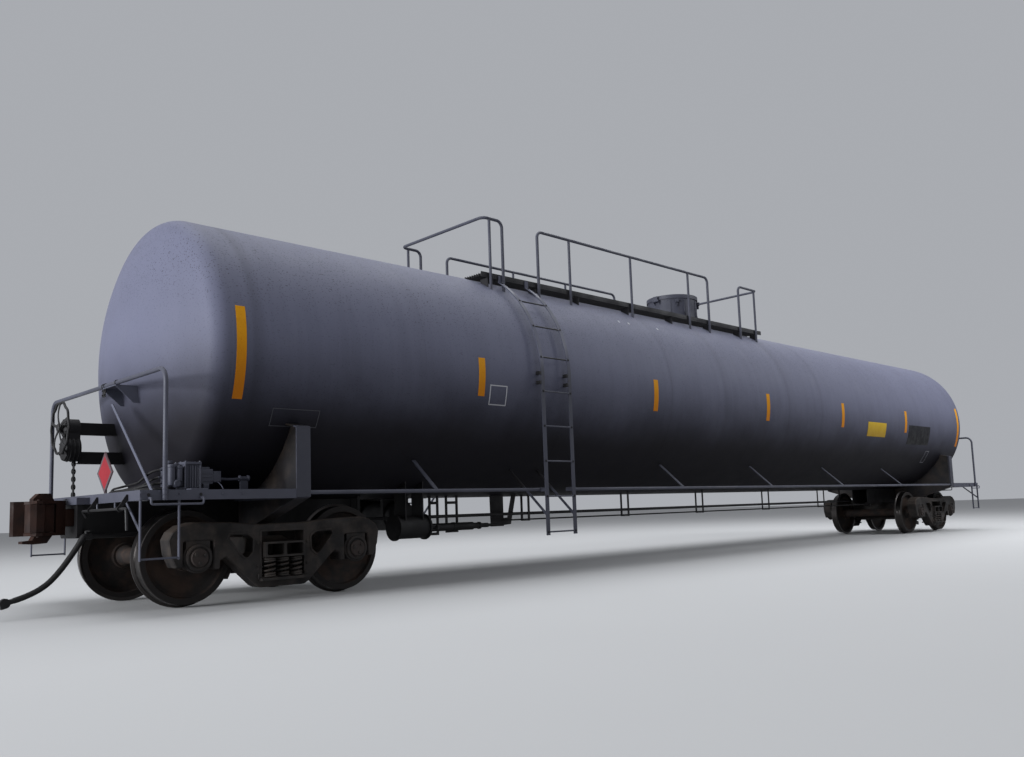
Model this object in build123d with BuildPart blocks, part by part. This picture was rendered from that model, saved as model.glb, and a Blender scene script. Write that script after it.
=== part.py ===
from build123d import *
import os
from math import acos, asin, cos, hypot, pi, sin, sqrt

# Railway tank car for pressurised liquid, with stub sills and two-axle trucks.
# Millimetres. X runs along the car, the hand brake end is at -X.
# Y is 0 on the centre line, Z is 0 at the tips of the wheel flanges.

os.makedirs("parts", exist_ok=True)

# Fits
SEAT = 0.3
RUNNING = 6.0

# Running gear
FLANGE_HEIGHT = 25.4
RAIL_TOP = FLANGE_HEIGHT
TREAD_RADIUS = 457.2
AXLE_Z = RAIL_TOP + TREAD_RADIUS
HALF_WHEELBASE = 889.0
BACK_TO_BACK = 1356.0
RIM_WIDTH = 145.0
JOURNAL_Y = 1003.5
WHEEL_SEAT_R = 111.0
JOURNAL_R = 78.6

# Tank
TANK_R = 1498.5
TANK_BOTTOM = RAIL_TOP + 998.5
TANK_Z = TANK_BOTTOM + TANK_R
TANK_TOP = TANK_Z + TANK_R
HEAD_TIP = 9750.0
HEAD_CROWN = 3300.0
HEAD_KNUCKLE = 200.0
HEAD_REACH = sqrt((HEAD_CROWN - HEAD_KNUCKLE) ** 2 - (TANK_R - HEAD_KNUCKLE) ** 2)
TANK_HALF = HEAD_TIP - HEAD_CROWN + HEAD_REACH

# Underframe: trucks, sills, platforms and couplers keep their distances from the tank's heads
TRUCK_SETBACK = 1250.0
SILL_OVERHANG = 400.0
SILL_INBOARD = 1550.0
PLATFORM_SETBACK = 40.0
COUPLER_OVERHANG = 450.0
TRUCK_X = HEAD_TIP - TRUCK_SETBACK
SILL_HALF_WIDTH = 180.0
SILL_PLATE = 16.0
SILL_BOTTOM = RAIL_TOP + 690.0
SILL_TOP = RAIL_TOP + 1020.0
SILL_INNER_X = TRUCK_X - SILL_INBOARD
SILL_FACE_X = HEAD_TIP + SILL_OVERHANG
STRIKER_DEPTH = 50.0
SIDE_MARGIN = 1.5
SIDE_Y = TANK_R + SIDE_MARGIN
DECK_TOP = RAIL_TOP + 1085.0
PLATFORM_END_X = SILL_FACE_X - PLATFORM_SETBACK
COUPLER_Z = RAIL_TOP + 876.0
PULLING_FACE_X = SILL_FACE_X + COUPLER_OVERHANG

# Pipes and rails
RAIL_PIPE_R = 21.0
HANDRAIL_Z = RAIL_TOP + 1050.0

# Top platform
BOARD_BELOW_CROWN = 75.5
BOARD_TOP = TANK_TOP - BOARD_BELOW_CROWN
BOARD_OUTER_Y = 856.0
TOP_RAIL_HEIGHT = 750.0
TOP_RAIL_Z = BOARD_TOP + TOP_RAIL_HEIGHT
HOUSING_R = 435.0
HOUSING_HEIGHT = 484.5
HOUSING_TOP = TANK_TOP + HOUSING_HEIGHT

TANK_AXIS = Axis((0, 0, TANK_Z), (1, 0, 0))
TANK_PLANE = Plane(origin=(0, 0, TANK_Z), x_dir=(1, 0, 0), z_dir=(0, -1, 0))
ENDS = {"b": -1, "a": 1}


def finish(part, label):
    """Names a finished piece and writes it to its own file."""
    part.label = label
    export_step(part, f"parts/{label}.step")


def tank_body(gap=0.0):
    """The closed tank: a cylinder with dished heads, grown all round by a gap."""
    radius = TANK_R + gap
    crown = HEAD_CROWN + gap
    knuckle = HEAD_KNUCKLE + gap
    reach = sqrt((crown - knuckle) ** 2 - (radius - knuckle) ** 2)
    centre = TANK_HALF - reach
    slope = asin((radius - knuckle) / (crown - knuckle))
    join = (centre + crown * cos(slope), crown * sin(slope))
    tip = (centre + crown, 0)
    with BuildPart() as body:
        with BuildSketch(TANK_PLANE):
            with BuildLine():
                shell = Line((0, radius), (TANK_HALF, radius))
                bend = TangentArc(shell @ 1, join, tangent=(1, 0))
                TangentArc(join, tip, tangent=bend % 1)
                Line(tip, (0, 0))
                Line((0, 0), (0, radius))
            make_face()
            mirror(about=Plane.YZ)
        revolve(axis=TANK_AXIS)
    return body.part


def tube(points, bends, radius):
    """A bent pipe: straight runs joined by tangent arcs, swept with a round section."""
    with BuildPart() as pipe:
        with BuildLine() as route:
            if len(points) > 2:
                FilletPolyline(*points, radius=bends)
            else:
                Line(*points)
        with BuildSketch(Plane(origin=route.line @ 0, z_dir=route.line % 0)):
            Circle(radius)
        sweep(path=route.line)
    return pipe.part


def tank_height(y):
    """Height of the tank's upper surface at a distance from the centre line."""
    return TANK_Z + sqrt(TANK_R**2 - y**2)


def tank_underside(y):
    """Height of the tank's lower surface at a distance from the centre line."""
    return TANK_Z - sqrt(TANK_R**2 - y**2)


# Tank
tank = tank_body()
finish(tank, "tank")
tank_room = tank_body(SEAT)

# Stub sills: an open-bottomed box from the striker to inboard of each bolster
BOTTOM_SLOT_HALF = 105.0
FILLER_HALF_LENGTH = 330.0
CENTER_PLATE_R = 200.0
CENTER_PLATE_Z = RAIL_TOP + 648.0
STRIKER_HALF_WIDTH = 235.0
STRIKER_TOP = SILL_TOP + 30.0
STRIKER_BOTTOM = SILL_BOTTOM - 15.0
MOUTH_HALF_WIDTH = 150.0
SHANK_HALF_HEIGHT = 80.0
SHANK_HALF_WIDTH = 64.0

with BuildPart() as stub_sills:
    with BuildSketch(Plane.YZ.offset(-SILL_FACE_X)):
        with Locations((0, (SILL_BOTTOM + SILL_TOP) / 2)):
            Rectangle(2 * SILL_HALF_WIDTH, SILL_TOP - SILL_BOTTOM)
        with Locations((0, (SILL_BOTTOM + SILL_TOP) / 2)):
            Rectangle(
                2 * (SILL_HALF_WIDTH - SILL_PLATE),
                SILL_TOP - SILL_BOTTOM - 2 * SILL_PLATE,
                mode=Mode.SUBTRACT,
            )
        with Locations((0, SILL_BOTTOM)):
            Rectangle(2 * BOTTOM_SLOT_HALF, 4 * SILL_PLATE, mode=Mode.SUBTRACT)
    extrude(amount=SILL_FACE_X - SILL_INNER_X)
    with Locations((-TRUCK_X, 0, (SILL_BOTTOM + SILL_TOP) / 2)):
        Box(2 * FILLER_HALF_LENGTH, 2 * SILL_HALF_WIDTH, SILL_TOP - SILL_BOTTOM)
    with BuildSketch(Plane.XY.offset(CENTER_PLATE_Z)):
        with Locations((-TRUCK_X, 0)):
            Circle(CENTER_PLATE_R)
    extrude(amount=SILL_BOTTOM - CENTER_PLATE_Z)
    with BuildSketch(Plane.YZ.offset(-SILL_FACE_X)):
        with Locations((0, (STRIKER_TOP + STRIKER_BOTTOM) / 2)):
            RectangleRounded(2 * STRIKER_HALF_WIDTH, STRIKER_TOP - STRIKER_BOTTOM, 40)
        with Locations((0, COUPLER_Z)):
            Rectangle(
                2 * MOUTH_HALF_WIDTH,
                2 * (SHANK_HALF_HEIGHT + RUNNING),
                mode=Mode.SUBTRACT,
            )
    extrude(amount=-STRIKER_DEPTH)
    mirror(about=Plane.YZ)
    add(tank_room, mode=Mode.SUBTRACT)
finish(stub_sills.part, "stub_sills")

# Draft gear blocks inside the sills, with the yoke and pin that hold the coupler shanks
DRAFT_GEAR_LENGTH = 560.0
PIVOT_SETBACK = 530.0
PIVOT_TO_GEAR = 100.0
COUPLER_PIVOT_X = SILL_FACE_X - PIVOT_SETBACK
DRAFT_GEAR_FACE_X = COUPLER_PIVOT_X - PIVOT_TO_GEAR
DRAFT_GEAR_INNER_X = DRAFT_GEAR_FACE_X - DRAFT_GEAR_LENGTH
COUPLER_PIN_R = 40.0
YOKE_HALF_WIDTH = 62.0
YOKE_PLATE = 20.0
with BuildPart() as draft_gears:
    gear_centre = (DRAFT_GEAR_INNER_X + DRAFT_GEAR_FACE_X) / 2
    with Locations((-gear_centre, 0, COUPLER_Z)):
        Box(
            DRAFT_GEAR_FACE_X - DRAFT_GEAR_INNER_X,
            2 * (SILL_HALF_WIDTH - SILL_PLATE - SEAT),
            2 * (SHANK_HALF_HEIGHT + RUNNING + YOKE_PLATE),
        )
    for level in (-1, 1):
        strap_z = COUPLER_Z + level * (SHANK_HALF_HEIGHT + RUNNING + YOKE_PLATE / 2)
        with Locations((-DRAFT_GEAR_FACE_X + 10, 0, strap_z)):
            Box(
                COUPLER_PIVOT_X + YOKE_HALF_WIDTH - DRAFT_GEAR_FACE_X + 10,
                2 * YOKE_HALF_WIDTH,
                YOKE_PLATE,
                align=(Align.MAX, Align.CENTER, Align.CENTER),
            )
    with Locations((-COUPLER_PIVOT_X, 0, COUPLER_Z)):
        Cylinder(COUPLER_PIN_R, 2 * (SHANK_HALF_HEIGHT + RUNNING + YOKE_PLATE))
    mirror(about=Plane.YZ)
finish(draft_gears.part, "draft_gears")

# Body bolsters: web, flanges and end plates reaching from the sill to the car's sides
BOLSTER_HALF_FLANGE = 79.0
BOLSTER_PLATE = 14.0
BOLSTER_ROOT_Z = RAIL_TOP + 735.0
BOLSTER_END_BOTTOM = RAIL_TOP + 1005.0
BOLSTER_END_TOP = RAIL_TOP + 1705.0
BOLSTER_SHOULDER_Y = SIDE_Y - 350.0
BOLSTER_OUTER_Y = SIDE_Y + 4.0

with BuildPart() as body_bolsters:
    for side in (-1, 1):
        outline = [
            (side * (SILL_HALF_WIDTH + SEAT), BOLSTER_ROOT_Z),
            (side * 700, BOLSTER_ROOT_Z + 20),
            (side * BOLSTER_OUTER_Y, BOLSTER_END_BOTTOM),
            (side * BOLSTER_OUTER_Y, BOLSTER_END_TOP),
            (side * BOLSTER_SHOULDER_Y, BOLSTER_END_TOP + 75),
            (side * (SILL_HALF_WIDTH + SEAT), TANK_Z),
        ]
        inner = [
            (side * (SILL_HALF_WIDTH + SEAT), BOLSTER_ROOT_Z + BOLSTER_PLATE),
            (side * 700, BOLSTER_ROOT_Z + 20 + BOLSTER_PLATE),
            (side * (BOLSTER_OUTER_Y - BOLSTER_PLATE), BOLSTER_END_BOTTOM + BOLSTER_PLATE),
            (side * (BOLSTER_OUTER_Y - BOLSTER_PLATE), BOLSTER_END_TOP - BOLSTER_PLATE),
            (side * BOLSTER_SHOULDER_Y, BOLSTER_END_TOP + 75 - BOLSTER_PLATE),
            (side * (SILL_HALF_WIDTH + SEAT), TANK_Z),
        ]
        with BuildSketch(Plane.YZ.offset(-TRUCK_X)):
            Polygon(*outline, align=None)
            Polygon(*inner, align=None, mode=Mode.SUBTRACT)
        extrude(amount=BOLSTER_HALF_FLANGE, both=True)
        with BuildSketch(Plane.YZ.offset(-TRUCK_X)):
            Polygon(*outline, align=None)
        extrude(amount=BOLSTER_PLATE, both=True)
    mirror(about=Plane.YZ)
    add(tank_room, mode=Mode.SUBTRACT)
finish(body_bolsters.part, "body_bolsters")

# End platforms: deck, side sills and end crossmembers
SIDE_SILL_DEPTH = 90.0
SIDE_SILL_PLATE = 10.0
SIDE_SILL_FLANGE = 60.0
DECK_PLATE = 28.0
DECK_INNER_X = TRUCK_X + BOLSTER_HALF_FLANGE
BRAKE_STEP_DEPTH = 120.0
BRAKE_STEP_WIDTH = 1050.0
BRAKE_STEP_Y = 225.0
BRAKE_STEP_DROP = 25.0
STEP_FRONT_X = PLATFORM_END_X + BRAKE_STEP_DEPTH

with BuildPart() as end_platforms:
    deck_length = PLATFORM_END_X - DECK_INNER_X
    deck_centre = (PLATFORM_END_X + DECK_INNER_X) / 2
    with BuildSketch(Plane.XY.offset(DECK_TOP - DECK_PLATE)):
        with Locations((-deck_centre, 0)):
            Rectangle(deck_length, 2 * SIDE_Y - 2 * SIDE_SILL_PLATE)
    extrude(amount=DECK_PLATE)
    with BuildSketch(Plane.XY.offset(DECK_TOP - SIDE_SILL_DEPTH)):
        with Locations((-deck_centre, 0)):
            Rectangle(deck_length, 2 * SIDE_Y)
            Rectangle(
                deck_length - 2 * SIDE_SILL_PLATE,
                2 * SIDE_Y - 2 * SIDE_SILL_PLATE,
                mode=Mode.SUBTRACT,
            )
    extrude(amount=SIDE_SILL_DEPTH)
    with BuildSketch(Plane.XY.offset(DECK_TOP - SIDE_SILL_DEPTH)):
        with Locations((-deck_centre, SIDE_Y - SIDE_SILL_FLANGE / 2)):
            Rectangle(deck_length, SIDE_SILL_FLANGE)
        with Locations((-deck_centre, -SIDE_Y + SIDE_SILL_FLANGE / 2)):
            Rectangle(deck_length, SIDE_SILL_FLANGE)
    extrude(amount=SIDE_SILL_PLATE)
    mirror(about=Plane.YZ)
    with BuildSketch(Plane.XY.offset(DECK_TOP - SIDE_SILL_DEPTH)):
        with Locations((-(PLATFORM_END_X + STEP_FRONT_X) / 2, BRAKE_STEP_Y)):
            Rectangle(BRAKE_STEP_DEPTH, BRAKE_STEP_WIDTH)
    extrude(amount=SIDE_SILL_DEPTH - BRAKE_STEP_DROP)
    add(tank_room, mode=Mode.SUBTRACT)
    for end in (-1, 1):
        with Locations((end * (SILL_FACE_X + SILL_INNER_X) / 2, 0, SILL_TOP)):
            Box(
                SILL_FACE_X - SILL_INNER_X + 2 * STRIKER_DEPTH + 2 * SEAT,
                2 * (STRIKER_HALF_WIDTH + SEAT),
                2 * (STRIKER_TOP - SILL_TOP + SEAT),
                mode=Mode.SUBTRACT,
            )
finish(end_platforms.part, "end_platforms")

# End railings: one hoop of pipe across each end, with a flat brace at the brake end
RAILING_SETBACK = 210.0
RAILING_X = PLATFORM_END_X - RAILING_SETBACK
RAILING_TOP = RAIL_TOP + 2180.0
RAILING_BEND = 130.0
RAILING_Y = SIDE_Y + RAIL_PIPE_R + SEAT
railing_route = [
    (-RAILING_X, -RAILING_Y, DECK_TOP - SIDE_SILL_DEPTH),
    (-RAILING_X, -RAILING_Y, RAILING_TOP),
    (-RAILING_X, RAILING_Y, RAILING_TOP),
    (-RAILING_X, RAILING_Y, DECK_TOP - SIDE_SILL_DEPTH),
]
with BuildPart() as end_railings:
    add(tube(railing_route, RAILING_BEND, RAIL_PIPE_R))
    mirror(about=Plane.YZ)
finish(end_railings.part, "end_railings")

# Brace and tank bracket of the railing at the brake end
BRACE_TOP_Y = -60.0
BRACE_FOOT_Y = -SIDE_Y + 260.0
BRACE_WIDTH = 50.0
BRACE_THICK = 8.0
TANK_BRACKET_Y = 60.0
TANK_BRACKET_WIDTH = 340.0
TANK_BRACKET_REACH = 260.0
TANK_BRACKET_DEPTH = 170.0
with BuildPart() as railing_brace:
    brace_top_z = RAILING_TOP - RAIL_PIPE_R - SEAT
    with BuildSketch(Plane.YZ.offset(-RAILING_X)):
        Polygon(
            (BRACE_TOP_Y - BRACE_WIDTH / 2, brace_top_z),
            (BRACE_TOP_Y + BRACE_WIDTH / 2, brace_top_z),
            (BRACE_FOOT_Y + BRACE_WIDTH / 2, DECK_TOP + SEAT),
            (BRACE_FOOT_Y - BRACE_WIDTH / 2, DECK_TOP + SEAT),
            align=None,
        )
    extrude(amount=BRACE_THICK / 2, both=True)
    bracket_front_x = -RAILING_X - RAIL_PIPE_R
    bracket_back_x = -RAILING_X + TANK_BRACKET_REACH
    bracket_bottom = brace_top_z - TANK_BRACKET_DEPTH
    with BuildSketch(Plane.XZ.offset(TANK_BRACKET_Y)):
        Polygon(
            (bracket_front_x, brace_top_z),
            (bracket_back_x, brace_top_z),
            (bracket_back_x, bracket_bottom),
            (bracket_back_x - 110, bracket_bottom),
            (bracket_front_x, brace_top_z - 12),
            align=None,
        )
    extrude(amount=TANK_BRACKET_WIDTH)
    with BuildSketch(Plane.XZ.offset(TANK_BRACKET_Y + BRACE_THICK)):
        Polygon(
            (bracket_front_x - 1, brace_top_z - BRACE_THICK),
            (bracket_back_x + 1, brace_top_z - BRACE_THICK),
            (bracket_back_x + 1, bracket_bottom - 10),
            (bracket_front_x - 1, bracket_bottom - 10),
            align=None,
        )
    extrude(amount=TANK_BRACKET_WIDTH - 2 * BRACE_THICK, mode=Mode.SUBTRACT)
    add(tank_room, mode=Mode.SUBTRACT)
finish(railing_brace.part, "railing_brace")

# Sill steps: two flat-bar legs with a round tread under each corner of the platforms,
# and a flat brace from the end crossmember to the outer leg
STEP_SETBACK = 10.0
STEP_WIDTH = 345.0
STEP_OUTER_X = PLATFORM_END_X - STEP_SETBACK
STEP_INNER_X = STEP_OUTER_X - STEP_WIDTH
STEP_TREAD_Z = RAIL_TOP + 487.0
STEP_TREAD_R = 9.0
STEP_TOE = 16.0
STEP_BAR = 32.0
STEP_THICK = 10.0
STEP_BRACE_THICK = 8.0
STEP_BRACE_WIDTH = 38.0
STEP_BRACE_TOP_Y = SIDE_Y - 335.0
STEP_BRACE_FOOT_Z = RAIL_TOP + 745.0
SIDE_SILL_BOTTOM = DECK_TOP - SIDE_SILL_DEPTH
step_top = SIDE_SILL_BOTTOM - SEAT
with BuildPart() as sill_steps:
    with BuildSketch(Plane.XY.offset(STEP_TREAD_Z - STEP_TOE)):
        with Locations((-STEP_OUTER_X, -SIDE_Y), (-STEP_INNER_X, -SIDE_Y)):
            Rectangle(STEP_THICK, STEP_BAR, align=(Align.CENTER, Align.MIN))
    extrude(amount=step_top - STEP_TREAD_Z + STEP_TOE)
    with BuildSketch(Plane.YZ.offset(-STEP_OUTER_X)):
        with Locations((-SIDE_Y + STEP_BAR / 2, STEP_TREAD_Z)):
            Circle(STEP_TREAD_R)
    extrude(amount=STEP_WIDTH)
    with BuildSketch(Plane.YZ.offset(-STEP_OUTER_X - STEP_BRACE_THICK / 2)):
        Polygon(
            (-STEP_BRACE_TOP_Y + STEP_BRACE_WIDTH / 2, step_top),
            (-STEP_BRACE_TOP_Y - STEP_BRACE_WIDTH / 2, step_top),
            (-SIDE_Y + STEP_BAR / 2, STEP_BRACE_FOOT_Z),
            (-SIDE_Y + STEP_BAR / 2, STEP_BRACE_FOOT_Z - STEP_BRACE_WIDTH),
            align=None,
        )
    extrude(amount=STEP_BRACE_THICK)
    mirror(about=Plane.XZ)
    mirror(about=Plane.YZ)
finish(sill_steps.part, "sill_steps")

# Grab irons: bent rods outside the side sills and below the end crossmembers
GRAB_R = 10.0
GRAB_BEND = 25.0
GRAB_REACH = 60.0
GRAB_SIDE_Z = DECK_TOP - 73.0
GRAB_SIDE_SETBACK = 75.0
GRAB_SIDE_WIDTH = 475.0
GRAB_END_SETBACK = 15.0
GRAB_SIDE_X = (
    -PLATFORM_END_X + GRAB_SIDE_SETBACK,
    -PLATFORM_END_X + GRAB_SIDE_SETBACK + GRAB_SIDE_WIDTH,
)
GRAB_END_X = -PLATFORM_END_X + GRAB_END_SETBACK
GRAB_END_Y = (-900.0, -460.0)
GRAB_END_Z = SIDE_SILL_BOTTOM - GRAB_REACH
grab_root_y = -SIDE_Y - SEAT
grab_root_z = SIDE_SILL_BOTTOM - SEAT
GRAB_ROUTES = [
    [
        (GRAB_SIDE_X[0], grab_root_y, GRAB_SIDE_Z),
        (GRAB_SIDE_X[0], -SIDE_Y - GRAB_REACH, GRAB_SIDE_Z),
        (GRAB_SIDE_X[1], -SIDE_Y - GRAB_REACH, GRAB_SIDE_Z),
        (GRAB_SIDE_X[1], grab_root_y, GRAB_SIDE_Z),
    ],
    [
        (GRAB_END_X, GRAB_END_Y[0], grab_root_z),
        (GRAB_END_X, GRAB_END_Y[0], GRAB_END_Z),
        (GRAB_END_X, GRAB_END_Y[1], GRAB_END_Z),
        (GRAB_END_X, GRAB_END_Y[1], grab_root_z),
    ],
]
with BuildPart() as grab_irons:
    for route in GRAB_ROUTES:
        add(tube(route, GRAB_BEND, GRAB_R))
    mirror(about=Plane.XZ)
    mirror(about=Plane.YZ)
finish(grab_irons.part, "grab_irons")

# Side ladders: two flat stringers with round rungs, straight below the tank's axis
# and curved over its shoulder up to the running boards
LADDER_X = -4860.0
LADDER_WIDTH = 500.0
STRINGER_WIDTH = 60.0
STRINGER_THICK = 12.0
LADDER_STANDOFF = 90.0
LADDER_R = TANK_R + LADDER_STANDOFF
LADDER_BOTTOM = RAIL_TOP + 480.0
RUNG_R = 10.0
RUNG_PITCH = 440.0
RUNG_FIRST_Z = RAIL_TOP + 521.0
BRACKET_HEIGHTS = (TANK_Z - 107.0, TANK_Z + 13.0)
LADDER_BRACE_FOOT = RAIL_TOP + 700.0
LADDER_BRACE_TOP = RAIL_TOP + 1400.0
LADDER_BRACE_TOP_Y = 860.0
LADDER_BRACE_WIDTH = 45.0
HANDRAIL_Y = BOLSTER_OUTER_Y - BOLSTER_PLATE - RAIL_PIPE_R - SEAT
LUG_THICK = 10.0
stringer_x = (LADDER_X - LADDER_WIDTH / 2, LADDER_X + LADDER_WIDTH / 2)
board_reach = acos((BOARD_OUTER_Y + SEAT + STRINGER_THICK) / LADDER_R)


def ladder_point(height):
    """Distance out and height of the stringer, given a height along the ladder."""
    if height <= TANK_Z:
        return (-LADDER_R, height)
    turn = (height - TANK_Z) / LADDER_R
    return (-LADDER_R * cos(turn), TANK_Z + LADDER_R * sin(turn))


rung_heights = [RUNG_FIRST_Z]
while rung_heights[-1] + RUNG_PITCH < TANK_Z + LADDER_R * board_reach - RUNG_PITCH / 4:
    rung_heights.append(rung_heights[-1] + RUNG_PITCH)

with BuildPart() as side_ladders:
    for x in stringer_x:
        with BuildSketch(Plane.YZ.offset(x)):
            with BuildLine():
                foot = Line((-LADDER_R, LADDER_BOTTOM), (-LADDER_R, TANK_Z))
                top = (
                    -LADDER_R * cos(board_reach),
                    TANK_Z + LADDER_R * sin(board_reach),
                )
                shoulder = TangentArc(foot @ 1, top, tangent=(0, 1))
                inner_top = (
                    -(LADDER_R - STRINGER_THICK) * cos(board_reach),
                    TANK_Z + (LADDER_R - STRINGER_THICK) * sin(board_reach),
                )
                Line(top, inner_top)
                inner_foot = (-LADDER_R + STRINGER_THICK, TANK_Z)
                ThreePointArc(
                    inner_top,
                    (
                        -(LADDER_R - STRINGER_THICK) * cos(board_reach / 2),
                        TANK_Z + (LADDER_R - STRINGER_THICK) * sin(board_reach / 2),
                    ),
                    inner_foot,
                )
                Line(inner_foot, (-LADDER_R + STRINGER_THICK, LADDER_BOTTOM))
                Line((-LADDER_R + STRINGER_THICK, LADDER_BOTTOM), (-LADDER_R, LADDER_BOTTOM))
            make_face()
        extrude(amount=STRINGER_WIDTH / 2, both=True)
        with Locations((x, -BOARD_OUTER_Y - SEAT, BOARD_TOP)):
            Box(
                STRINGER_WIDTH,
                STRINGER_THICK,
                BOARD_TOP - top[1] + STRINGER_THICK,
                align=(Align.CENTER, Align.MAX, Align.MAX),
            )
        for height in BRACKET_HEIGHTS:
            with Locations((x, -LADDER_R + LADDER_STANDOFF / 2 + STRINGER_THICK / 2, height)):
                Box(STRINGER_WIDTH, LADDER_STANDOFF, LUG_THICK)
        with Locations((x, -(LADDER_R + HANDRAIL_Y - RAIL_PIPE_R) / 2, HANDRAIL_Z)):
            Box(LUG_THICK, LADDER_R - HANDRAIL_Y + RAIL_PIPE_R, 2.4 * RAIL_PIPE_R)
        with BuildSketch(Plane.YZ.offset(x)):
            Polygon(
                (-LADDER_R + STRINGER_THICK / 2, LADDER_BRACE_FOOT),
                (-LADDER_R + STRINGER_THICK / 2, LADDER_BRACE_FOOT + LADDER_BRACE_WIDTH),
                (-LADDER_BRACE_TOP_Y, LADDER_BRACE_TOP),
                (-LADDER_BRACE_TOP_Y + LADDER_BRACE_WIDTH - 5, LADDER_BRACE_TOP),
                align=None,
            )
        extrude(amount=LUG_THICK / 2, both=True)
    for height in rung_heights:
        out, up = ladder_point(height)
        inward = (LADDER_R - STRINGER_THICK / 2) / LADDER_R
        with BuildSketch(Plane.YZ.offset(stringer_x[0])):
            with Locations((out * inward, TANK_Z + (up - TANK_Z) * inward if up > TANK_Z else up)):
                Circle(RUNG_R)
        extrude(amount=LADDER_WIDTH)
    mirror(about=Plane.XZ)
    add(tank_room, mode=Mode.SUBTRACT)
finish(side_ladders.part, "side_ladders")

# Side handrails: straight pipes from bolster to ladder to bolster on both sides
handrail_outer_x = TRUCK_X - BOLSTER_PLATE - SEAT
HANDRAIL_RUNS = [
    (-handrail_outer_x, stringer_x[0] - LUG_THICK / 2 - SEAT),
    (stringer_x[1] + LUG_THICK / 2 + SEAT, handrail_outer_x),
]
with BuildPart() as side_handrails:
    for first_x, last_x in HANDRAIL_RUNS:
        add(
            tube(
                [(first_x, -HANDRAIL_Y, HANDRAIL_Z), (last_x, -HANDRAIL_Y, HANDRAIL_Z)],
                0,
                RAIL_PIPE_R,
            )
        )
    mirror(about=Plane.XZ)
finish(side_handrails.part, "side_handrails")

# Handrail struts: flat bars that slope from the tank's underside down to the handrails
STRUT_X = (-6770.0, -2020.0, 550.0, 3150.0, 5800.0)
STRUT_WIDTH = 50.0
STRUT_THICK = 12.0
STRUT_TOP_Y = SIDE_Y - 460.0
with BuildPart() as handrail_struts:
    rise = tank_underside(STRUT_TOP_Y) - HANDRAIL_Z
    run = HANDRAIL_Y - STRUT_TOP_Y
    strut_length = hypot(rise, run)
    strut_plane = Plane(
        origin=(0, -HANDRAIL_Y, HANDRAIL_Z), x_dir=(1, 0, 0), z_dir=(0, run, rise)
    )
    with BuildSketch(strut_plane):
        with Locations(*[(x, 0) for x in STRUT_X]):
            Rectangle(STRUT_WIDTH, STRUT_THICK)
    extrude(amount=strut_length)
    with BuildSketch(Plane.YZ.offset(min(STRUT_X) - STRUT_WIDTH)):
        with Locations((-HANDRAIL_Y, HANDRAIL_Z)):
            Circle(RAIL_PIPE_R + SEAT)
    extrude(amount=max(STRUT_X) - min(STRUT_X) + 2 * STRUT_WIDTH, mode=Mode.SUBTRACT)
    mirror(about=Plane.XZ)
    add(tank_room, mode=Mode.SUBTRACT)
finish(handrail_struts.part, "handrail_struts")

# Running boards: a grated walk on each side of the tank's crown, on short feet
BOARD_WIDTH = 330.0
BOARD_PLATE = 45.0
BOARD_FIRST_X = -5560.0
BOARD_LAST_X = 1540.0
TOE_HEIGHT = 70.0
TOE_PLATE = 8.0
TOE_RISE = 15.0
FOOT_COUNT = 7
FOOT_PLATE = 10.0
FOOT_SETBACK = 200.0
FOOT_Y = 140.0
FOOT_WIDTH = 260.0
FOOT_HEIGHT = 240.0
with BuildPart() as running_boards:
    board_length = BOARD_LAST_X - BOARD_FIRST_X
    board_centre = (BOARD_LAST_X + BOARD_FIRST_X) / 2
    with Locations((board_centre, -BOARD_OUTER_Y + BOARD_WIDTH / 2, BOARD_TOP - BOARD_PLATE / 2)):
        Box(board_length, BOARD_WIDTH, BOARD_PLATE)
    with Locations((board_centre, -BOARD_OUTER_Y + TOE_PLATE / 2, BOARD_TOP - TOE_HEIGHT / 2 + TOE_RISE)):
        Box(board_length, TOE_PLATE, TOE_HEIGHT)
    foot_pitch = (board_length - 2 * FOOT_SETBACK) / (FOOT_COUNT - 1)
    foot_z = BOARD_TOP - BOARD_PLATE - FOOT_HEIGHT / 2
    foot_places = [
        (BOARD_FIRST_X + FOOT_SETBACK + i * foot_pitch, -BOARD_OUTER_Y + FOOT_Y, foot_z)
        for i in range(FOOT_COUNT)
    ]
    with Locations(*foot_places):
        Box(FOOT_PLATE, FOOT_WIDTH, FOOT_HEIGHT)
    mirror(about=Plane.XZ)
    add(tank_room, mode=Mode.SUBTRACT)
finish(running_boards.part, "running_boards")

# Top railings: pipe hoops on both sides and across both ends of the running boards
TOP_RAIL_Y = BOARD_OUTER_Y + RAIL_PIPE_R + SEAT
TOP_BEND = 90.0
POST_R = 19.0
POST_FOOT_Z = tank_height(TOP_RAIL_Y) - 40.0
# columns: side (-1 near, 1 far), first x, last x, x of the posts between
SIDE_HOOPS = [
    (-1, -4380.0, -180.0, (-3720.0, -2300.0, -760.0)),
    (1, -4550.0, -550.0, (-3140.0, -1880.0)),
]
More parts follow.
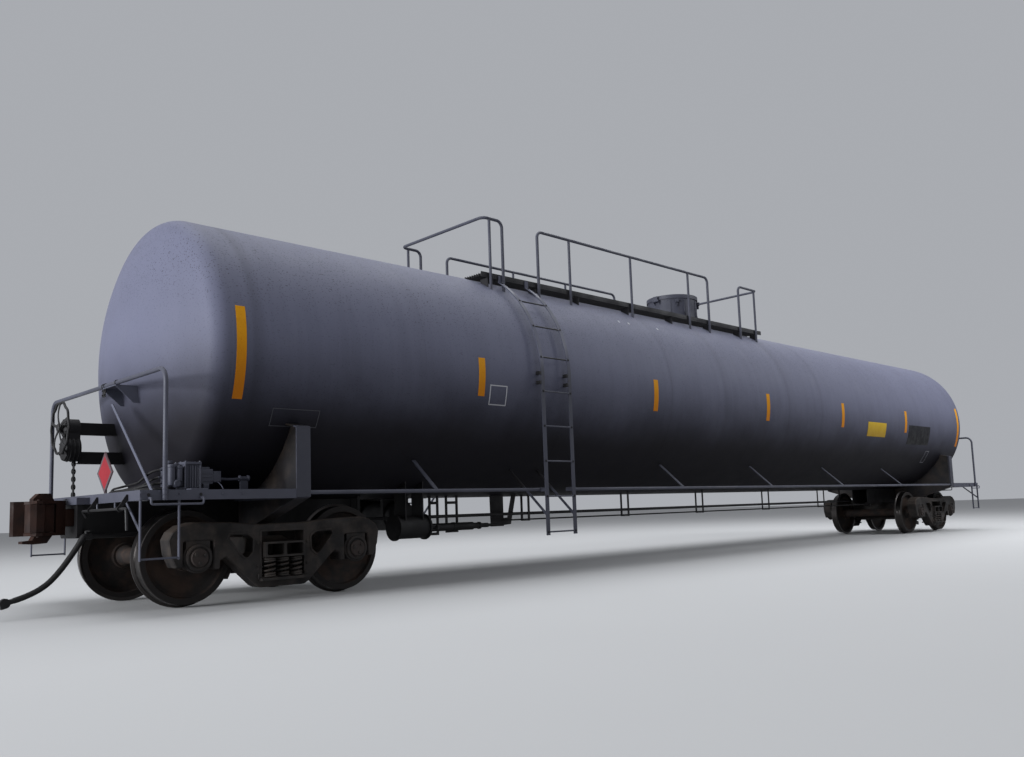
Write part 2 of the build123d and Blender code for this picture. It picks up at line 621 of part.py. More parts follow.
# columns: x of the corner, x of the post beside it, x of the gate post
END_HOOPS = [
    (-5400.0, -5290.0, stringer_x[0] + STRINGER_WIDTH / 2 + SEAT + RAIL_PIPE_R),
    (1430.0, 1330.0, 800.0),
]
with BuildPart() as top_railings:
    for side, first_x, last_x, post_xs in SIDE_HOOPS:
        y = side * TOP_RAIL_Y
        hoop = [
            (first_x, y, POST_FOOT_Z),
            (first_x, y, TOP_RAIL_Z),
            (last_x, y, TOP_RAIL_Z),
            (last_x, y, POST_FOOT_Z),
        ]
        add(tube(hoop, TOP_BEND, RAIL_PIPE_R))
        for x in post_xs:
            add(tube([(x, y, POST_FOOT_Z), (x, y, TOP_RAIL_Z)], 0, POST_R))
    for corner_x, post_x, gate_x in END_HOOPS:
        hoop = [
            (gate_x, -TOP_RAIL_Y, POST_FOOT_Z),
            (gate_x, -TOP_RAIL_Y, TOP_RAIL_Z),
            (corner_x, -TOP_RAIL_Y, TOP_RAIL_Z),
            (corner_x, TOP_RAIL_Y, TOP_RAIL_Z),
            (gate_x, TOP_RAIL_Y, TOP_RAIL_Z),
            (gate_x, TOP_RAIL_Y, POST_FOOT_Z),
        ]
        add(tube(hoop, TOP_BEND, RAIL_PIPE_R))
        for y in (-TOP_RAIL_Y, TOP_RAIL_Y):
            add(tube([(post_x, y, POST_FOOT_Z), (post_x, y, TOP_RAIL_Z)], 0, POST_R))
    add(tank_room, mode=Mode.SUBTRACT)
finish(top_railings.part, "top_railings")

# Protective housing: an open drum with a foot ring, a latch lug and hinge lugs
HOUSING_WALL = 10.0
HOUSING_FOOT_R = 485.0
HOUSING_FOOT_Z = TANK_TOP + 20.0
HOUSING_ROOT_Z = TANK_TOP - 90.0
LID_PLATE = 12.0
LID_SKIRT = 50.0
LID_GAP = 9.0
LID_WALL = 8.0
LID_ROUND = 5.0
HINGE_PIN_R = 10.0
HINGE_BORE_R = 10.6
HINGE_KNUCKLE_R = 22.0
HINGE_HALF_WIDTH = 60.0
HINGE_LUG = 14.0
HINGE_SIDE_GAP = 1.0
housing_rim_z = HOUSING_TOP - LID_PLATE - RUNNING
lid_outer_r = HOUSING_R + LID_GAP + LID_WALL
hinge_x = -(lid_outer_r + HINGE_KNUCKLE_R + RUNNING)
hinge_z = housing_rim_z - LID_SKIRT - HINGE_KNUCKLE_R
with BuildPart() as protective_housing:
    with BuildSketch(Plane.XY.offset(HOUSING_ROOT_Z)):
        Circle(HOUSING_R)
        Circle(HOUSING_R - HOUSING_WALL, mode=Mode.SUBTRACT)
    extrude(amount=housing_rim_z - HOUSING_ROOT_Z)
    with BuildSketch(Plane.XY.offset(HOUSING_ROOT_Z)):
        Circle(HOUSING_FOOT_R)
        Circle(HOUSING_R - HOUSING_WALL, mode=Mode.SUBTRACT)
    extrude(amount=HOUSING_FOOT_Z - HOUSING_ROOT_Z)
    for y in (-HINGE_HALF_WIDTH, HINGE_HALF_WIDTH - HINGE_LUG):
        with BuildSketch(Plane.XZ.offset(-y)):
            with Locations((hinge_x, hinge_z)):
                Circle(HINGE_KNUCKLE_R)
            Polygon(
                (hinge_x, hinge_z + HINGE_KNUCKLE_R),
                (hinge_x, hinge_z - HINGE_KNUCKLE_R),
                (-HOUSING_R + HOUSING_WALL / 2, hinge_z - 3 * HINGE_KNUCKLE_R),
                (-HOUSING_R + HOUSING_WALL / 2, hinge_z + HINGE_KNUCKLE_R),
                align=None,
            )
        extrude(amount=-HINGE_LUG)
    with BuildSketch(Plane.XZ.offset(HINGE_HALF_WIDTH)):
        with Locations((hinge_x, hinge_z)):
            Circle(HINGE_PIN_R)
    extrude(amount=-2 * HINGE_HALF_WIDTH)
    with Locations((HOUSING_R + 12, 0, hinge_z - 42)):
        Box(34, 50, 60)
    add(tank_room, mode=Mode.SUBTRACT)
finish(protective_housing.part, "protective_housing")

# Lid of the protective housing, with its skirt, hinge strap and hasp
with BuildPart() as housing_lid:
    with BuildSketch(Plane.XY.offset(HOUSING_TOP)):
        Circle(lid_outer_r)
    extrude(amount=-LID_PLATE)
    with BuildSketch(Plane.XY.offset(HOUSING_TOP)):
        Circle(lid_outer_r)
        Circle(lid_outer_r - LID_WALL, mode=Mode.SUBTRACT)
    extrude(amount=-(LID_PLATE + RUNNING + LID_SKIRT))
    fillet(housing_lid.edges().filter_by(GeomType.CIRCLE).group_by(Axis.Z)[-1], LID_ROUND)
    strap_half = HINGE_HALF_WIDTH - HINGE_LUG - HINGE_SIDE_GAP
    with BuildSketch(Plane.XZ.offset(strap_half)):
        with Locations((hinge_x, hinge_z)):
            Circle(HINGE_KNUCKLE_R)
        Polygon(
            (hinge_x - HINGE_KNUCKLE_R, hinge_z),
            (hinge_x - HINGE_KNUCKLE_R, HOUSING_TOP - LID_PLATE),
            (-lid_outer_r + LID_WALL / 2, HOUSING_TOP - 2 * LID_ROUND),
            (-lid_outer_r + LID_WALL / 2, hinge_z + HINGE_KNUCKLE_R + 1),
            (hinge_x + HINGE_KNUCKLE_R, hinge_z),
            align=None,
        )
    extrude(amount=-2 * strap_half)
    with BuildSketch(Plane.XZ.offset(strap_half + 1)):
        with Locations((hinge_x, hinge_z)):
            Circle(HINGE_BORE_R)
    extrude(amount=-2 * strap_half - 2, mode=Mode.SUBTRACT)
    with Locations((lid_outer_r + 8, 0, HOUSING_TOP - LID_SKIRT)):
        Box(20, 36, 2 * LID_SKIRT - 3 * LID_ROUND)
finish(housing_lid.part, "housing_lid")

# Manway cover with its ring of studs' bosses, under the housing
COVER_R = 395.0
COVER_PLATE = 60.0
COVER_ROOT_Z = TANK_TOP - 60.0
cover_top = TANK_TOP + 75.0
with BuildPart() as manway_cover:
    with BuildSketch(Plane.XY.offset(cover_top - COVER_PLATE)):
        Circle(COVER_R)
    extrude(amount=COVER_PLATE)
    with BuildSketch(Plane.XY.offset(COVER_ROOT_Z)):
        Circle(COVER_R - 60)
    extrude(amount=cover_top - COVER_PLATE - COVER_ROOT_Z)
    with PolarLocations(COVER_R - 32, 20):
        with Locations((0, 0, cover_top + 9)):
            Cylinder(16, 18)
    add(tank_room, mode=Mode.SUBTRACT)
finish(manway_cover.part, "manway_cover")

# Valves on the manway cover: four angle valves round one tall relief valve
VALVE_RING_R = 215.0
VALVE_BODY_R = 48.0
VALVE_BODY_HEIGHT = 150.0
RELIEF_R = 70.0
RELIEF_HEIGHT = 230.0
with BuildPart() as dome_valves:
    with BuildSketch(Plane.XY.offset(cover_top + SEAT)):
        Circle(RELIEF_R)
    extrude(amount=RELIEF_HEIGHT, taper=6)
    with BuildSketch(Plane.XY.offset(cover_top + SEAT)):
        Circle(RELIEF_R + 25)
    extrude(amount=22)
    with PolarLocations(VALVE_RING_R, 4):
        with Locations((0, 0, cover_top + SEAT)):
            Cylinder(VALVE_BODY_R + 18, 20, align=(Align.CENTER, Align.CENTER, Align.MIN))
            Cylinder(
                VALVE_BODY_R,
                VALVE_BODY_HEIGHT,
                align=(Align.CENTER, Align.CENTER, Align.MIN),
            )
            Cylinder(14, VALVE_BODY_HEIGHT + 60, align=(Align.CENTER, Align.CENTER, Align.MIN))
        with Locations((0, 0, cover_top + SEAT + VALVE_BODY_HEIGHT + 60)):
            Cylinder(44, 14)
        with Locations((45, 0, cover_top + SEAT + VALVE_BODY_HEIGHT * 0.6)):
            Cylinder(30, 90, rotation=(0, 90, 0))
finish(dome_valves.part, "dome_valves")

# Hand brake: gear housing on two arms from the tank's head, and its wheel
BRAKE_WHEEL_OVERHANG = 90.0
BRAKE_WHEEL_X = -PLATFORM_END_X - BRAKE_WHEEL_OVERHANG
BRAKE_WHEEL_Y = 310.0
BRAKE_WHEEL_Z = RAIL_TOP + 1780.0
BRAKE_WHEEL_R = 279.5
BRAKE_RIM_R = 14.0
BRAKE_HUB_R = 42.0
BRAKE_SPOKES = 5
GEAR_TO_WHEEL = 50.0
GEAR_DEPTH = 120.0
GEAR_FRONT_X = BRAKE_WHEEL_X + GEAR_TO_WHEEL
GEAR_BACK_X = GEAR_FRONT_X + GEAR_DEPTH
GEAR_UPPER_R = 95.0
GEAR_LOWER_R = 125.0
GEAR_LOWER_Z = BRAKE_WHEEL_Z - 210.0
BRAKE_ARM_Y = BRAKE_WHEEL_Y + 20.0
BRAKE_ARM_REACH = 700.0
BRAKE_ROD_R = 11.0
# columns: height, half depth of the arm
BRAKE_ARMS = [
    (BRAKE_WHEEL_Z, 32.0),
    (GEAR_LOWER_Z - 90.0, 26.0),
]
with BuildPart() as hand_brake_housing:
    with BuildSketch(Plane.YZ.offset(GEAR_FRONT_X)):
        with Locations((BRAKE_WHEEL_Y, BRAKE_WHEEL_Z)):
            Circle(GEAR_UPPER_R)
        with Locations((BRAKE_WHEEL_Y, GEAR_LOWER_Z)):
            Circle(GEAR_LOWER_R)
        with Locations((BRAKE_WHEEL_Y, (BRAKE_WHEEL_Z + GEAR_LOWER_Z) / 2)):
            Rectangle(1.7 * GEAR_UPPER_R, BRAKE_WHEEL_Z - GEAR_LOWER_Z)
    extrude(amount=GEAR_BACK_X - GEAR_FRONT_X)
    for height, half in BRAKE_ARMS:
        with BuildSketch(Plane.YZ.offset(GEAR_BACK_X)):
            with Locations((BRAKE_ARM_Y, height)):
                Rectangle(60, 2 * half)
        extrude(amount=BRAKE_ARM_REACH)
    with BuildSketch(Plane.YZ.offset(GEAR_FRONT_X)):
        with Locations((BRAKE_WHEEL_Y, BRAKE_WHEEL_Z)):
            Circle(18)
    extrude(amount=-(GEAR_FRONT_X - BRAKE_WHEEL_X) - 6)
    with BuildSketch(Plane.XY.offset(DECK_TOP + SEAT)):
        with Locations((GEAR_BACK_X - 40, BRAKE_WHEEL_Y - 20)):
            Circle(BRAKE_ROD_R)
    extrude(amount=GEAR_LOWER_Z - DECK_TOP - SEAT)
    add(tank_room, mode=Mode.SUBTRACT)
finish(hand_brake_housing.part, "hand_brake_housing")

with BuildPart() as hand_brake_wheel:
    with BuildSketch(Plane.XY.offset(0)):
        with Locations((BRAKE_WHEEL_R - BRAKE_RIM_R, 0)):
            Circle(BRAKE_RIM_R)
    revolve(axis=Axis((0, 0, 0), (0, 1, 0)))
    with BuildSketch(Plane.XZ.offset(-22)):
        Circle(BRAKE_HUB_R)
    extrude(amount=48)
    for i in range(BRAKE_SPOKES):
        turn = 2 * pi * (i + 0.25) / BRAKE_SPOKES
        reach = BRAKE_WHEEL_R - BRAKE_RIM_R
        spoke = [
            (0.6 * BRAKE_HUB_R * cos(turn), -12, 0.6 * BRAKE_HUB_R * sin(turn)),
            (reach * cos(turn), 0, reach * sin(turn)),
        ]
        add(tube(spoke, 0, 11.0))
    with BuildSketch(Plane.XZ.offset(40)):
        Circle(18 + SEAT)
    extrude(amount=-80, mode=Mode.SUBTRACT)
brake_wheel_place = Plane(
    origin=(BRAKE_WHEEL_X, BRAKE_WHEEL_Y, BRAKE_WHEEL_Z), x_dir=(0, 1, 0), z_dir=(0, 0, 1)
)
finish(brake_wheel_place.location * hand_brake_wheel.part, "hand_brake_wheel")

# Placard holders: a square plate on its corner, on a short post, at both ends
PLACARD_SIDE = 273.0
PLACARD_SETBACK = 60.0
PLACARD_X = -PLATFORM_END_X + PLACARD_SETBACK
PLACARD_Y = -500.0
PLACARD_PLATE = 5.0
PLACARD_RIM = 6.0
PLACARD_Z = DECK_TOP + SEAT + (PLACARD_SIDE / 2 + PLACARD_RIM) * sqrt(2)
with BuildPart() as placard_holders:
    with BuildSketch(Plane.YZ.offset(PLACARD_X)):
        with Locations((PLACARD_Y, PLACARD_Z)):
            Rectangle(PLACARD_SIDE, PLACARD_SIDE, rotation=45)
    extrude(amount=PLACARD_PLATE)
    with BuildSketch(Plane.YZ.offset(PLACARD_X + PLACARD_PLATE)):
        with Locations((PLACARD_Y, PLACARD_Z)):
            Rectangle(PLACARD_SIDE + 2 * PLACARD_RIM, PLACARD_SIDE + 2 * PLACARD_RIM, rotation=45)
            Rectangle(PLACARD_SIDE - 60, PLACARD_SIDE - 60, rotation=45, mode=Mode.SUBTRACT)
    extrude(amount=PLACARD_RIM)
    with BuildSketch(Plane.XY.offset(DECK_TOP + SEAT)):
        with Locations((PLACARD_X + PLACARD_PLATE + 9, PLACARD_Y)):
            Rectangle(8, 50)
    extrude(amount=PLACARD_Z - DECK_TOP - SEAT)
    add(placard_holders.part.rotate(Axis.Z, 180))
finish(placard_holders.part, "placard_holders")

# Uncoupling levers: bent rods in brackets on the end crossmembers
LEVER_R = 12.5
LEVER_OVERHANG = 70.0
LEVER_X = PLATFORM_END_X + LEVER_OVERHANG
LEVER_Z = SIDE_SILL_BOTTOM - 65.0
LEVER_INNER_Y = 300.0
LEVER_OUTER_Y = SIDE_Y - 120.0
LEVER_HANDLE = 190.0
LEVER_BRACKETS_Y = (LEVER_INNER_Y + 220.0, LEVER_OUTER_Y - 140.0)
with BuildPart() as uncoupling_levers:
    lever_route = [
        (-LEVER_X + 40, -LEVER_INNER_Y, LEVER_Z - 60),
        (-LEVER_X, -LEVER_INNER_Y - 10, LEVER_Z),
        (-LEVER_X, -LEVER_OUTER_Y, LEVER_Z),
        (-LEVER_X, -LEVER_OUTER_Y - 20, LEVER_Z - LEVER_HANDLE),
    ]
    add(tube(lever_route, 35, LEVER_R))
    for y in LEVER_BRACKETS_Y:
        with BuildSketch(Plane.XZ.offset(y - 5)):
            with Locations((-LEVER_X, LEVER_Z)):
                Circle(2.2 * LEVER_R)
            Polygon(
                (-LEVER_X - 2.2 * LEVER_R, LEVER_Z),
                (-LEVER_X + LEVER_R, LEVER_Z),
                (-PLATFORM_END_X - SEAT, SIDE_SILL_BOTTOM + 10),
                (-PLATFORM_END_X - SEAT, SIDE_SILL_BOTTOM + 60),
                (-PLATFORM_END_X - 15, SIDE_SILL_BOTTOM + 60),
                align=None,
            )
        extrude(amount=10)
    add(uncoupling_levers.part.rotate(Axis.Z, 180))
finish(uncoupling_levers.part, "uncoupling_levers")

# Air reservoir: a cylinder across the car on two straps
RESERVOIR_TO_SILL = 650.0
RESERVOIR_X = -SILL_INNER_X + RESERVOIR_TO_SILL
RESERVOIR_Y = 220.0
RESERVOIR_Z = RAIL_TOP + 790.0
RESERVOIR_R = 190.0
RESERVOIR_LENGTH = 900.0
RESERVOIR_ROUND = 70.0
STRAP_WIDTH = 50.0
STRAP_PLATE = 10.0
STRAP_SPACING = 500.0
with BuildPart() as air_reservoir:
    with BuildSketch(Plane.XZ.offset(-RESERVOIR_Y + RESERVOIR_LENGTH / 2)):
        with Locations((RESERVOIR_X, RESERVOIR_Z)):
            Circle(RESERVOIR_R)
    extrude(amount=-RESERVOIR_LENGTH)
    fillet(air_reservoir.edges().filter_by(GeomType.CIRCLE), RESERVOIR_ROUND)
finish(air_reservoir.part, "air_reservoir")

with BuildPart() as reservoir_straps:
    for y in (RESERVOIR_Y - STRAP_SPACING / 2, RESERVOIR_Y + STRAP_SPACING / 2):
        with BuildSketch(Plane.XZ.offset(-y + STRAP_WIDTH / 2)):
            with Locations((RESERVOIR_X, RESERVOIR_Z)):
                Circle(RESERVOIR_R + SEAT + STRAP_PLATE)
            with Locations((RESERVOIR_X, RESERVOIR_Z)):
                Rectangle(
                    2 * (RESERVOIR_R + SEAT + STRAP_PLATE),
                    500,
                    align=(Align.CENTER, Align.MIN),
                )
            with Locations((RESERVOIR_X, RESERVOIR_Z)):
                Circle(RESERVOIR_R + SEAT, mode=Mode.SUBTRACT)
        extrude(amount=-STRAP_WIDTH)
    add(tank_room, mode=Mode.SUBTRACT)
finish(reservoir_straps.part, "reservoir_straps")

# Brake cylinder with its flanged heads and the bracket that hangs it from the tank
CYLINDER_X = RESERVOIR_X - 225.0
CYLINDER_Y = -620.0
CYLINDER_Z = RAIL_TOP + 640.0
CYLINDER_R = 135.0
CYLINDER_LENGTH = 430.0
CYLINDER_FLANGE_R = 155.0
CYLINDER_FLANGE = 22.0
PUSH_ROD_R = 20.0
CYLINDER_LEVER_X = CYLINDER_X + 415.0
with BuildPart() as brake_cylinder:
    # columns: distance along the cylinder, thickness, radius
    for start, thick, radius in [
        (-CYLINDER_LENGTH / 2, CYLINDER_LENGTH, CYLINDER_R),
        (-CYLINDER_LENGTH / 2 - CYLINDER_FLANGE, CYLINDER_FLANGE, CYLINDER_FLANGE_R),
        (CYLINDER_LENGTH / 2, CYLINDER_FLANGE, CYLINDER_FLANGE_R),
    ]:
        with BuildSketch(Plane.YZ.offset(CYLINDER_X + start)):
            with Locations((CYLINDER_Y, CYLINDER_Z)):
                Circle(radius)
        extrude(amount=thick)
    cone_x = CYLINDER_X + CYLINDER_LENGTH / 2 + CYLINDER_FLANGE
    with BuildSketch(Plane.YZ.offset(cone_x)):
        with Locations((CYLINDER_Y, CYLINDER_Z)):
            Circle(CYLINDER_R - 30)
    with BuildSketch(Plane.YZ.offset(cone_x + 90)):
        with Locations((CYLINDER_Y, CYLINDER_Z)):
            Circle(45)
    loft()
    with BuildSketch(Plane.YZ.offset(cone_x)):
        with Locations((CYLINDER_Y, CYLINDER_Z)):
            Circle(PUSH_ROD_R)
    extrude(amount=CYLINDER_LEVER_X - 15 - SEAT - cone_x)
    for x in (CYLINDER_X - 130, CYLINDER_X + 130):
        with Locations((x, CYLINDER_Y, CYLINDER_Z)):
            Box(14, 220, 700, align=(Align.CENTER, Align.CENTER, Align.MIN))
    add(tank_room, mode=Mode.SUBTRACT)
finish(brake_cylinder.part, "brake_cylinder")

# Brake rigging under the tank: cylinder lever, rods, guides and fulcrum plates
RIGGING_Y = -200.0
RIGGING_Z = CYLINDER_Z - 25.0
RIGGING_ROD_R = 20.0
RIGGING_PLATE = 12.0
HANGER_TOP_Z = RAIL_TOP + 1100.0
LONG_ROD_R = 11.0
LONG_ROD_Z = RAIL_TOP + 669.0
LONG_ROD_END_X = SILL_INNER_X - 30.0
GUIDE_BAR = 36.0
FULCRUM_X = CYLINDER_LEVER_X + 1410.0
# columns: first x, last x, lowest height above the rail, of each guide frame
GUIDE_FRAMES = [
    (CYLINDER_LEVER_X + 240.0, CYLINDER_LEVER_X + 370.0, 515.0),
    (CYLINDER_LEVER_X + 520.0, CYLINDER_LEVER_X + 700.0, 540.0),
]
FULCRUM_PLATE = [
    (FULCRUM_X - 100, RAIL_TOP + 590),
    (FULCRUM_X + 140, RAIL_TOP + 590),
    (FULCRUM_X + 140, HANGER_TOP_Z),
    (FULCRUM_X - 110, HANGER_TOP_Z),
]
FULCRUM_ARM = [
    (FULCRUM_X + 100, RAIL_TOP + 600),
    (FULCRUM_X + 280, RAIL_TOP + 612),
    (FULCRUM_X + 410, HANGER_TOP_Z),
    (FULCRUM_X + 330, HANGER_TOP_Z),
    (FULCRUM_X + 220, RAIL_TOP + 705),
    (FULCRUM_X + 100, RAIL_TOP + 700),
]
with BuildPart() as brake_rigging:
    lever_length = CYLINDER_Y - RIGGING_Y - 140
    with Locations((CYLINDER_LEVER_X, (CYLINDER_Y + RIGGING_Y) / 2 + 20, RIGGING_Z + 10)):
        Box(30, abs(lever_length), 50)
    add(
        tube(
            [
                (CYLINDER_LEVER_X, RIGGING_Y, RIGGING_Z),
                (FULCRUM_X, RIGGING_Y, RIGGING_Z),
            ],
            0,
            RIGGING_ROD_R,
        )
    )
    with BuildSketch(Plane.XZ.offset(-RIGGING_Y - RIGGING_PLATE / 2)):
        for first_x, last_x, lowest in GUIDE_FRAMES:
            middle = (first_x + last_x) / 2
            with Locations((first_x, RAIL_TOP + lowest), (last_x, RAIL_TOP + lowest)):
                Rectangle(
                    GUIDE_BAR,
                    HANGER_TOP_Z - RAIL_TOP - lowest,
                    align=(Align.CENTER, Align.MIN),
                )
            with Locations(
                (middle, RAIL_TOP + lowest + GUIDE_BAR / 2),
                (middle, RIGGING_Z - RIGGING_ROD_R),
                (middle, HANGER_TOP_Z - 170),
            ):
                Rectangle(last_x - first_x, GUIDE_BAR)
        Polygon(*FULCRUM_PLATE, align=None)
        Polygon(*FULCRUM_ARM, align=None)
    extrude(amount=RIGGING_PLATE)
    long_rod = [
        (FULCRUM_X + 100, RIGGING_Y, LONG_ROD_Z),
        (LONG_ROD_END_X, RIGGING_Y, LONG_ROD_Z),
    ]
    add(tube(long_rod, 0, LONG_ROD_R))
    add(tank_room, mode=Mode.SUBTRACT)
finish(brake_rigging.part, "brake_rigging")

# Brake pipe: along the near side, then across to the far side towards the other end
PIPE_R = 21.0
PIPE_Y = 300.0
PIPE_END_Z = RAIL_TOP + 690.0
PIPE_Z = RAIL_TOP + 755.0
PIPE_END_X = PLATFORM_END_X - 20.0
PIPE_BEND = 150.0
PIPE_DIP_X = SILL_INNER_X + 550.0
PIPE_LEVEL_X = SILL_INNER_X + 250.0
PIPE_CROSSING_X = (SILL_INNER_X - 1750.0, SILL_INNER_X - 1150.0)
with BuildPart() as brake_pipe:
    pipe_route = [
        (-PIPE_END_X, -PIPE_Y, PIPE_END_Z),
        (-PIPE_DIP_X, -PIPE_Y, PIPE_END_Z),
        (-PIPE_LEVEL_X, -PIPE_Y, PIPE_Z),
        (PIPE_CROSSING_X[0], -PIPE_Y, PIPE_Z),
        (PIPE_CROSSING_X[1], PIPE_Y, PIPE_Z),
        (PIPE_LEVEL_X, PIPE_Y, PIPE_Z),
        (PIPE_DIP_X, PIPE_Y, PIPE_END_Z),
        (PIPE_END_X, PIPE_Y, PIPE_END_Z),
    ]
    add(tube(pipe_route, PIPE_BEND, PIPE_R))
finish(brake_pipe.part, "brake_pipe")

# Hangers: flat-bar loops under the tank that carry the brake pipe and the long rod
HANGER_STEPS = (520.0, 2760.0, 4830.0, 7050.0, 9270.0)
HANGER_X = (-SILL_INNER_X - 100.0, *(FULCRUM_X + step for step in HANGER_STEPS))
FAR_HANGER_X = SILL_INNER_X - 450.0
FAR_HANGER_HEIGHT = 400.0
HANGER_BAR = 40.0
HANGER_PLATE = 8.0
hanger_outer_y = PIPE_Y + PIPE_R + SEAT + HANGER_PLATE
hanger_inner_y = abs(RIGGING_Y) - LONG_ROD_R - SEAT - HANGER_PLATE
hanger_bottom = LONG_ROD_Z - LONG_ROD_R - SEAT - HANGER_PLATE
with BuildPart() as pipe_hangers:
    for x in HANGER_X:
        with BuildSketch(Plane.YZ.offset(x - HANGER_BAR / 2)):
            with Locations((-(hanger_outer_y + hanger_inner_y) / 2, hanger_bottom)):
                Rectangle(
                    hanger_outer_y - hanger_inner_y,
                    HANGER_TOP_Z - hanger_bottom,
                    align=(Align.CENTER, Align.MIN),
                )
            with Locations((-(hanger_outer_y + hanger_inner_y) / 2, hanger_bottom + HANGER_PLATE)):
                Rectangle(
                    hanger_outer_y - hanger_inner_y - 2 * HANGER_PLATE,
                    HANGER_TOP_Z - hanger_bottom,
                    align=(Align.CENTER, Align.MIN),
                    mode=Mode.SUBTRACT,
                )
        extrude(amount=HANGER_BAR)
    with Locations((FAR_HANGER_X, PIPE_Y - PIPE_R - SEAT, PIPE_Z - PIPE_R)):
        Box(
            HANGER_BAR,
            HANGER_PLATE,
            FAR_HANGER_HEIGHT,
            align=(Align.CENTER, Align.MAX, Align.MIN),
        )
    add(tank_room, mode=Mode.SUBTRACT)
finish(pipe_hangers.part, "pipe_hangers")

# Control valve on the platform: pipe bracket, service and emergency portions, one pipe
VALVE_X = -PLATFORM_END_X + 565.0
VALVE_Y = -SIDE_Y + 380.0
VALVE_HEIGHT = 245.0
VALVE_PIPE_R = 13.5
VALVE_PIPE_Y = VALVE_Y + 60.0
VALVE_PIPE_Z = DECK_TOP + 123.0
FITTING_X = VALVE_X + 635.0
FITTING_R = 30.0
FITTING_LENGTH = 104.0
FITTING_FOOT = 88.0
FITTING_PLATE = 10.0
with BuildPart() as control_valve:
    # columns: x offset, y offset, foot above the deck, x size, y size, height
    for dx, dy, foot, wide, deep, high in [
        (0, 0, SEAT, 120, 230, VALVE_HEIGHT),
        (-110, 10, 45, 110, 170, 190),
        (105, -5, 60, 100, 180, 160),
        (0, 0, SEAT, 330, 120, 14),
    ]:
        with BuildSketch(Plane.XY.offset(DECK_TOP + foot)):
            with Locations((VALVE_X + dx, VALVE_Y + dy)):
                RectangleRounded(wide, deep, 12)
        extrude(amount=high)
    with Locations((VALVE_X - 110, VALVE_Y + 10, DECK_TOP + 255)):
        Cylinder(45, 60)
    with BuildSketch(Plane.YZ.offset(VALVE_X + 150)):
        with Locations((VALVE_Y - 5, DECK_TOP + 140)):
            Circle(62)
    extrude(amount=35)
    valve_pipe = [
        (VALVE_X + 100, VALVE_PIPE_Y, VALVE_PIPE_Z),
        (FITTING_X, VALVE_PIPE_Y, VALVE_PIPE_Z),
    ]
    add(tube(valve_pipe, 0, VALVE_PIPE_R))
    with Locations((FITTING_X, VALVE_PIPE_Y, VALVE_PIPE_Z)):
        Cylinder(FITTING_R, FITTING_LENGTH, rotation=(0, 90, 0))
    with Locations((FITTING_X, VALVE_PIPE_Y, DECK_TOP + SEAT)):
        Box(
            FITTING_FOOT,
            FITTING_PLATE,
            VALVE_PIPE_Z - DECK_TOP - SEAT,
            align=(Align.CENTER, Align.CENTER, Align.MIN),
        )
finish(control_valve.part, "control_valve")

# Angle cocks on brackets beside the sills at the ends of the brake pipe
COCK_R = 30.0
HOSE_R = 27.0
# columns: distance from the car's middle, height from the floor
HOSE_POINTS = [
    (PIPE_END_X + 100.0, 665.0),
    (PIPE_END_X + 250.0, 420.0),
    (PIPE_END_X + 460.0, 220.0),
    (PIPE_END_X + 660.0, 170.0),
]
HOSE_BENDS = (988.0, 351.0)
with BuildPart() as angle_cocks:
    first = HOSE_POINTS[0]
    second = HOSE_POINTS[1]
    slope = hypot(second[0] - first[0], second[1] - first[1])
    lead = ((second[0] - first[0]) / slope, (second[1] - first[1]) / slope)
    elbow_x = first[0] - lead[0] * (PIPE_END_Z - first[1]) / -lead[1]
    cock_route = [
        (-PIPE_END_X - SEAT, -PIPE_Y, PIPE_END_Z),
        (-elbow_x, -PIPE_Y, PIPE_END_Z),
        (-first[0] + SEAT * lead[0], -PIPE_Y, first[1] - SEAT * lead[1]),
    ]
    add(tube(cock_route, 12, COCK_R))
    with Locations((-PIPE_END_X - 45, -PIPE_Y, PIPE_END_Z + 25)):
        Cylinder(18, 50)
    with Locations((-PIPE_END_X - 45, -PIPE_Y - 50, PIPE_END_Z + 52)):
        Box(24, 130, 10)
    bracket_deep = PIPE_Y - COCK_R + 6 - SILL_HALF_WIDTH - SEAT
    with Locations((-PIPE_END_X - 22, -SILL_HALF_WIDTH - SEAT, PIPE_END_Z + 20)):
        Box(26, bracket_deep, 60, align=(Align.CENTER, Align.MAX, Align.CENTER))
    add(angle_cocks.part.rotate(Axis.Z, 180))
finish(angle_cocks.part, "angle_cocks")

# Air hoses that hang from the angle cocks, and the coupling heads at their ends
GLAD_NECK_R = 24.0
GLAD_HEAD_R = 44.0
for end, d in ENDS.items():
    with BuildPart() as air_hose:
        hose_route = [(d * x, d * PIPE_Y, z) for x, z in HOSE_POINTS]
        add(tube(hose_route, HOSE_BENDS, HOSE_R))
    finish(air_hose.part, f"air_hose_{end}")

with BuildPart() as glad_hands:
    last = HOSE_POINTS[-1]
    before = HOSE_POINTS[-2]
    run = hypot(last[0] - before[0], last[1] - before[1])
    lead = ((last[0] - before[0]) / run, (last[1] - before[1]) / run)
    neck = Plane(
        origin=(-last[0] - SEAT * lead[0], -PIPE_Y, last[1] + SEAT * lead[1]),
        x_dir=(0, 1, 0),
        z_dir=(-lead[0], 0, lead[1]),
    )
    with BuildSketch(neck):
        Circle(GLAD_NECK_R)
    extrude(amount=45)
    head = Plane(
        origin=(-last[0] - 75 * lead[0], -PIPE_Y + 24, last[1] + 75 * lead[1]),
        x_dir=(-lead[0], 0, lead[1]),
        z_dir=(0, -1, 0),
    )
    with BuildSketch(head):
        Circle(GLAD_HEAD_R)
        with Locations((GLAD_HEAD_R * 0.4, GLAD_HEAD_R * 0.7)):
            Rectangle(GLAD_HEAD_R * 1.1, GLAD_HEAD_R * 0.6)
    extrude(amount=48)
    add(glad_hands.part.rotate(Axis.Z, 180))
finish(glad_hands.part, "glad_hands")

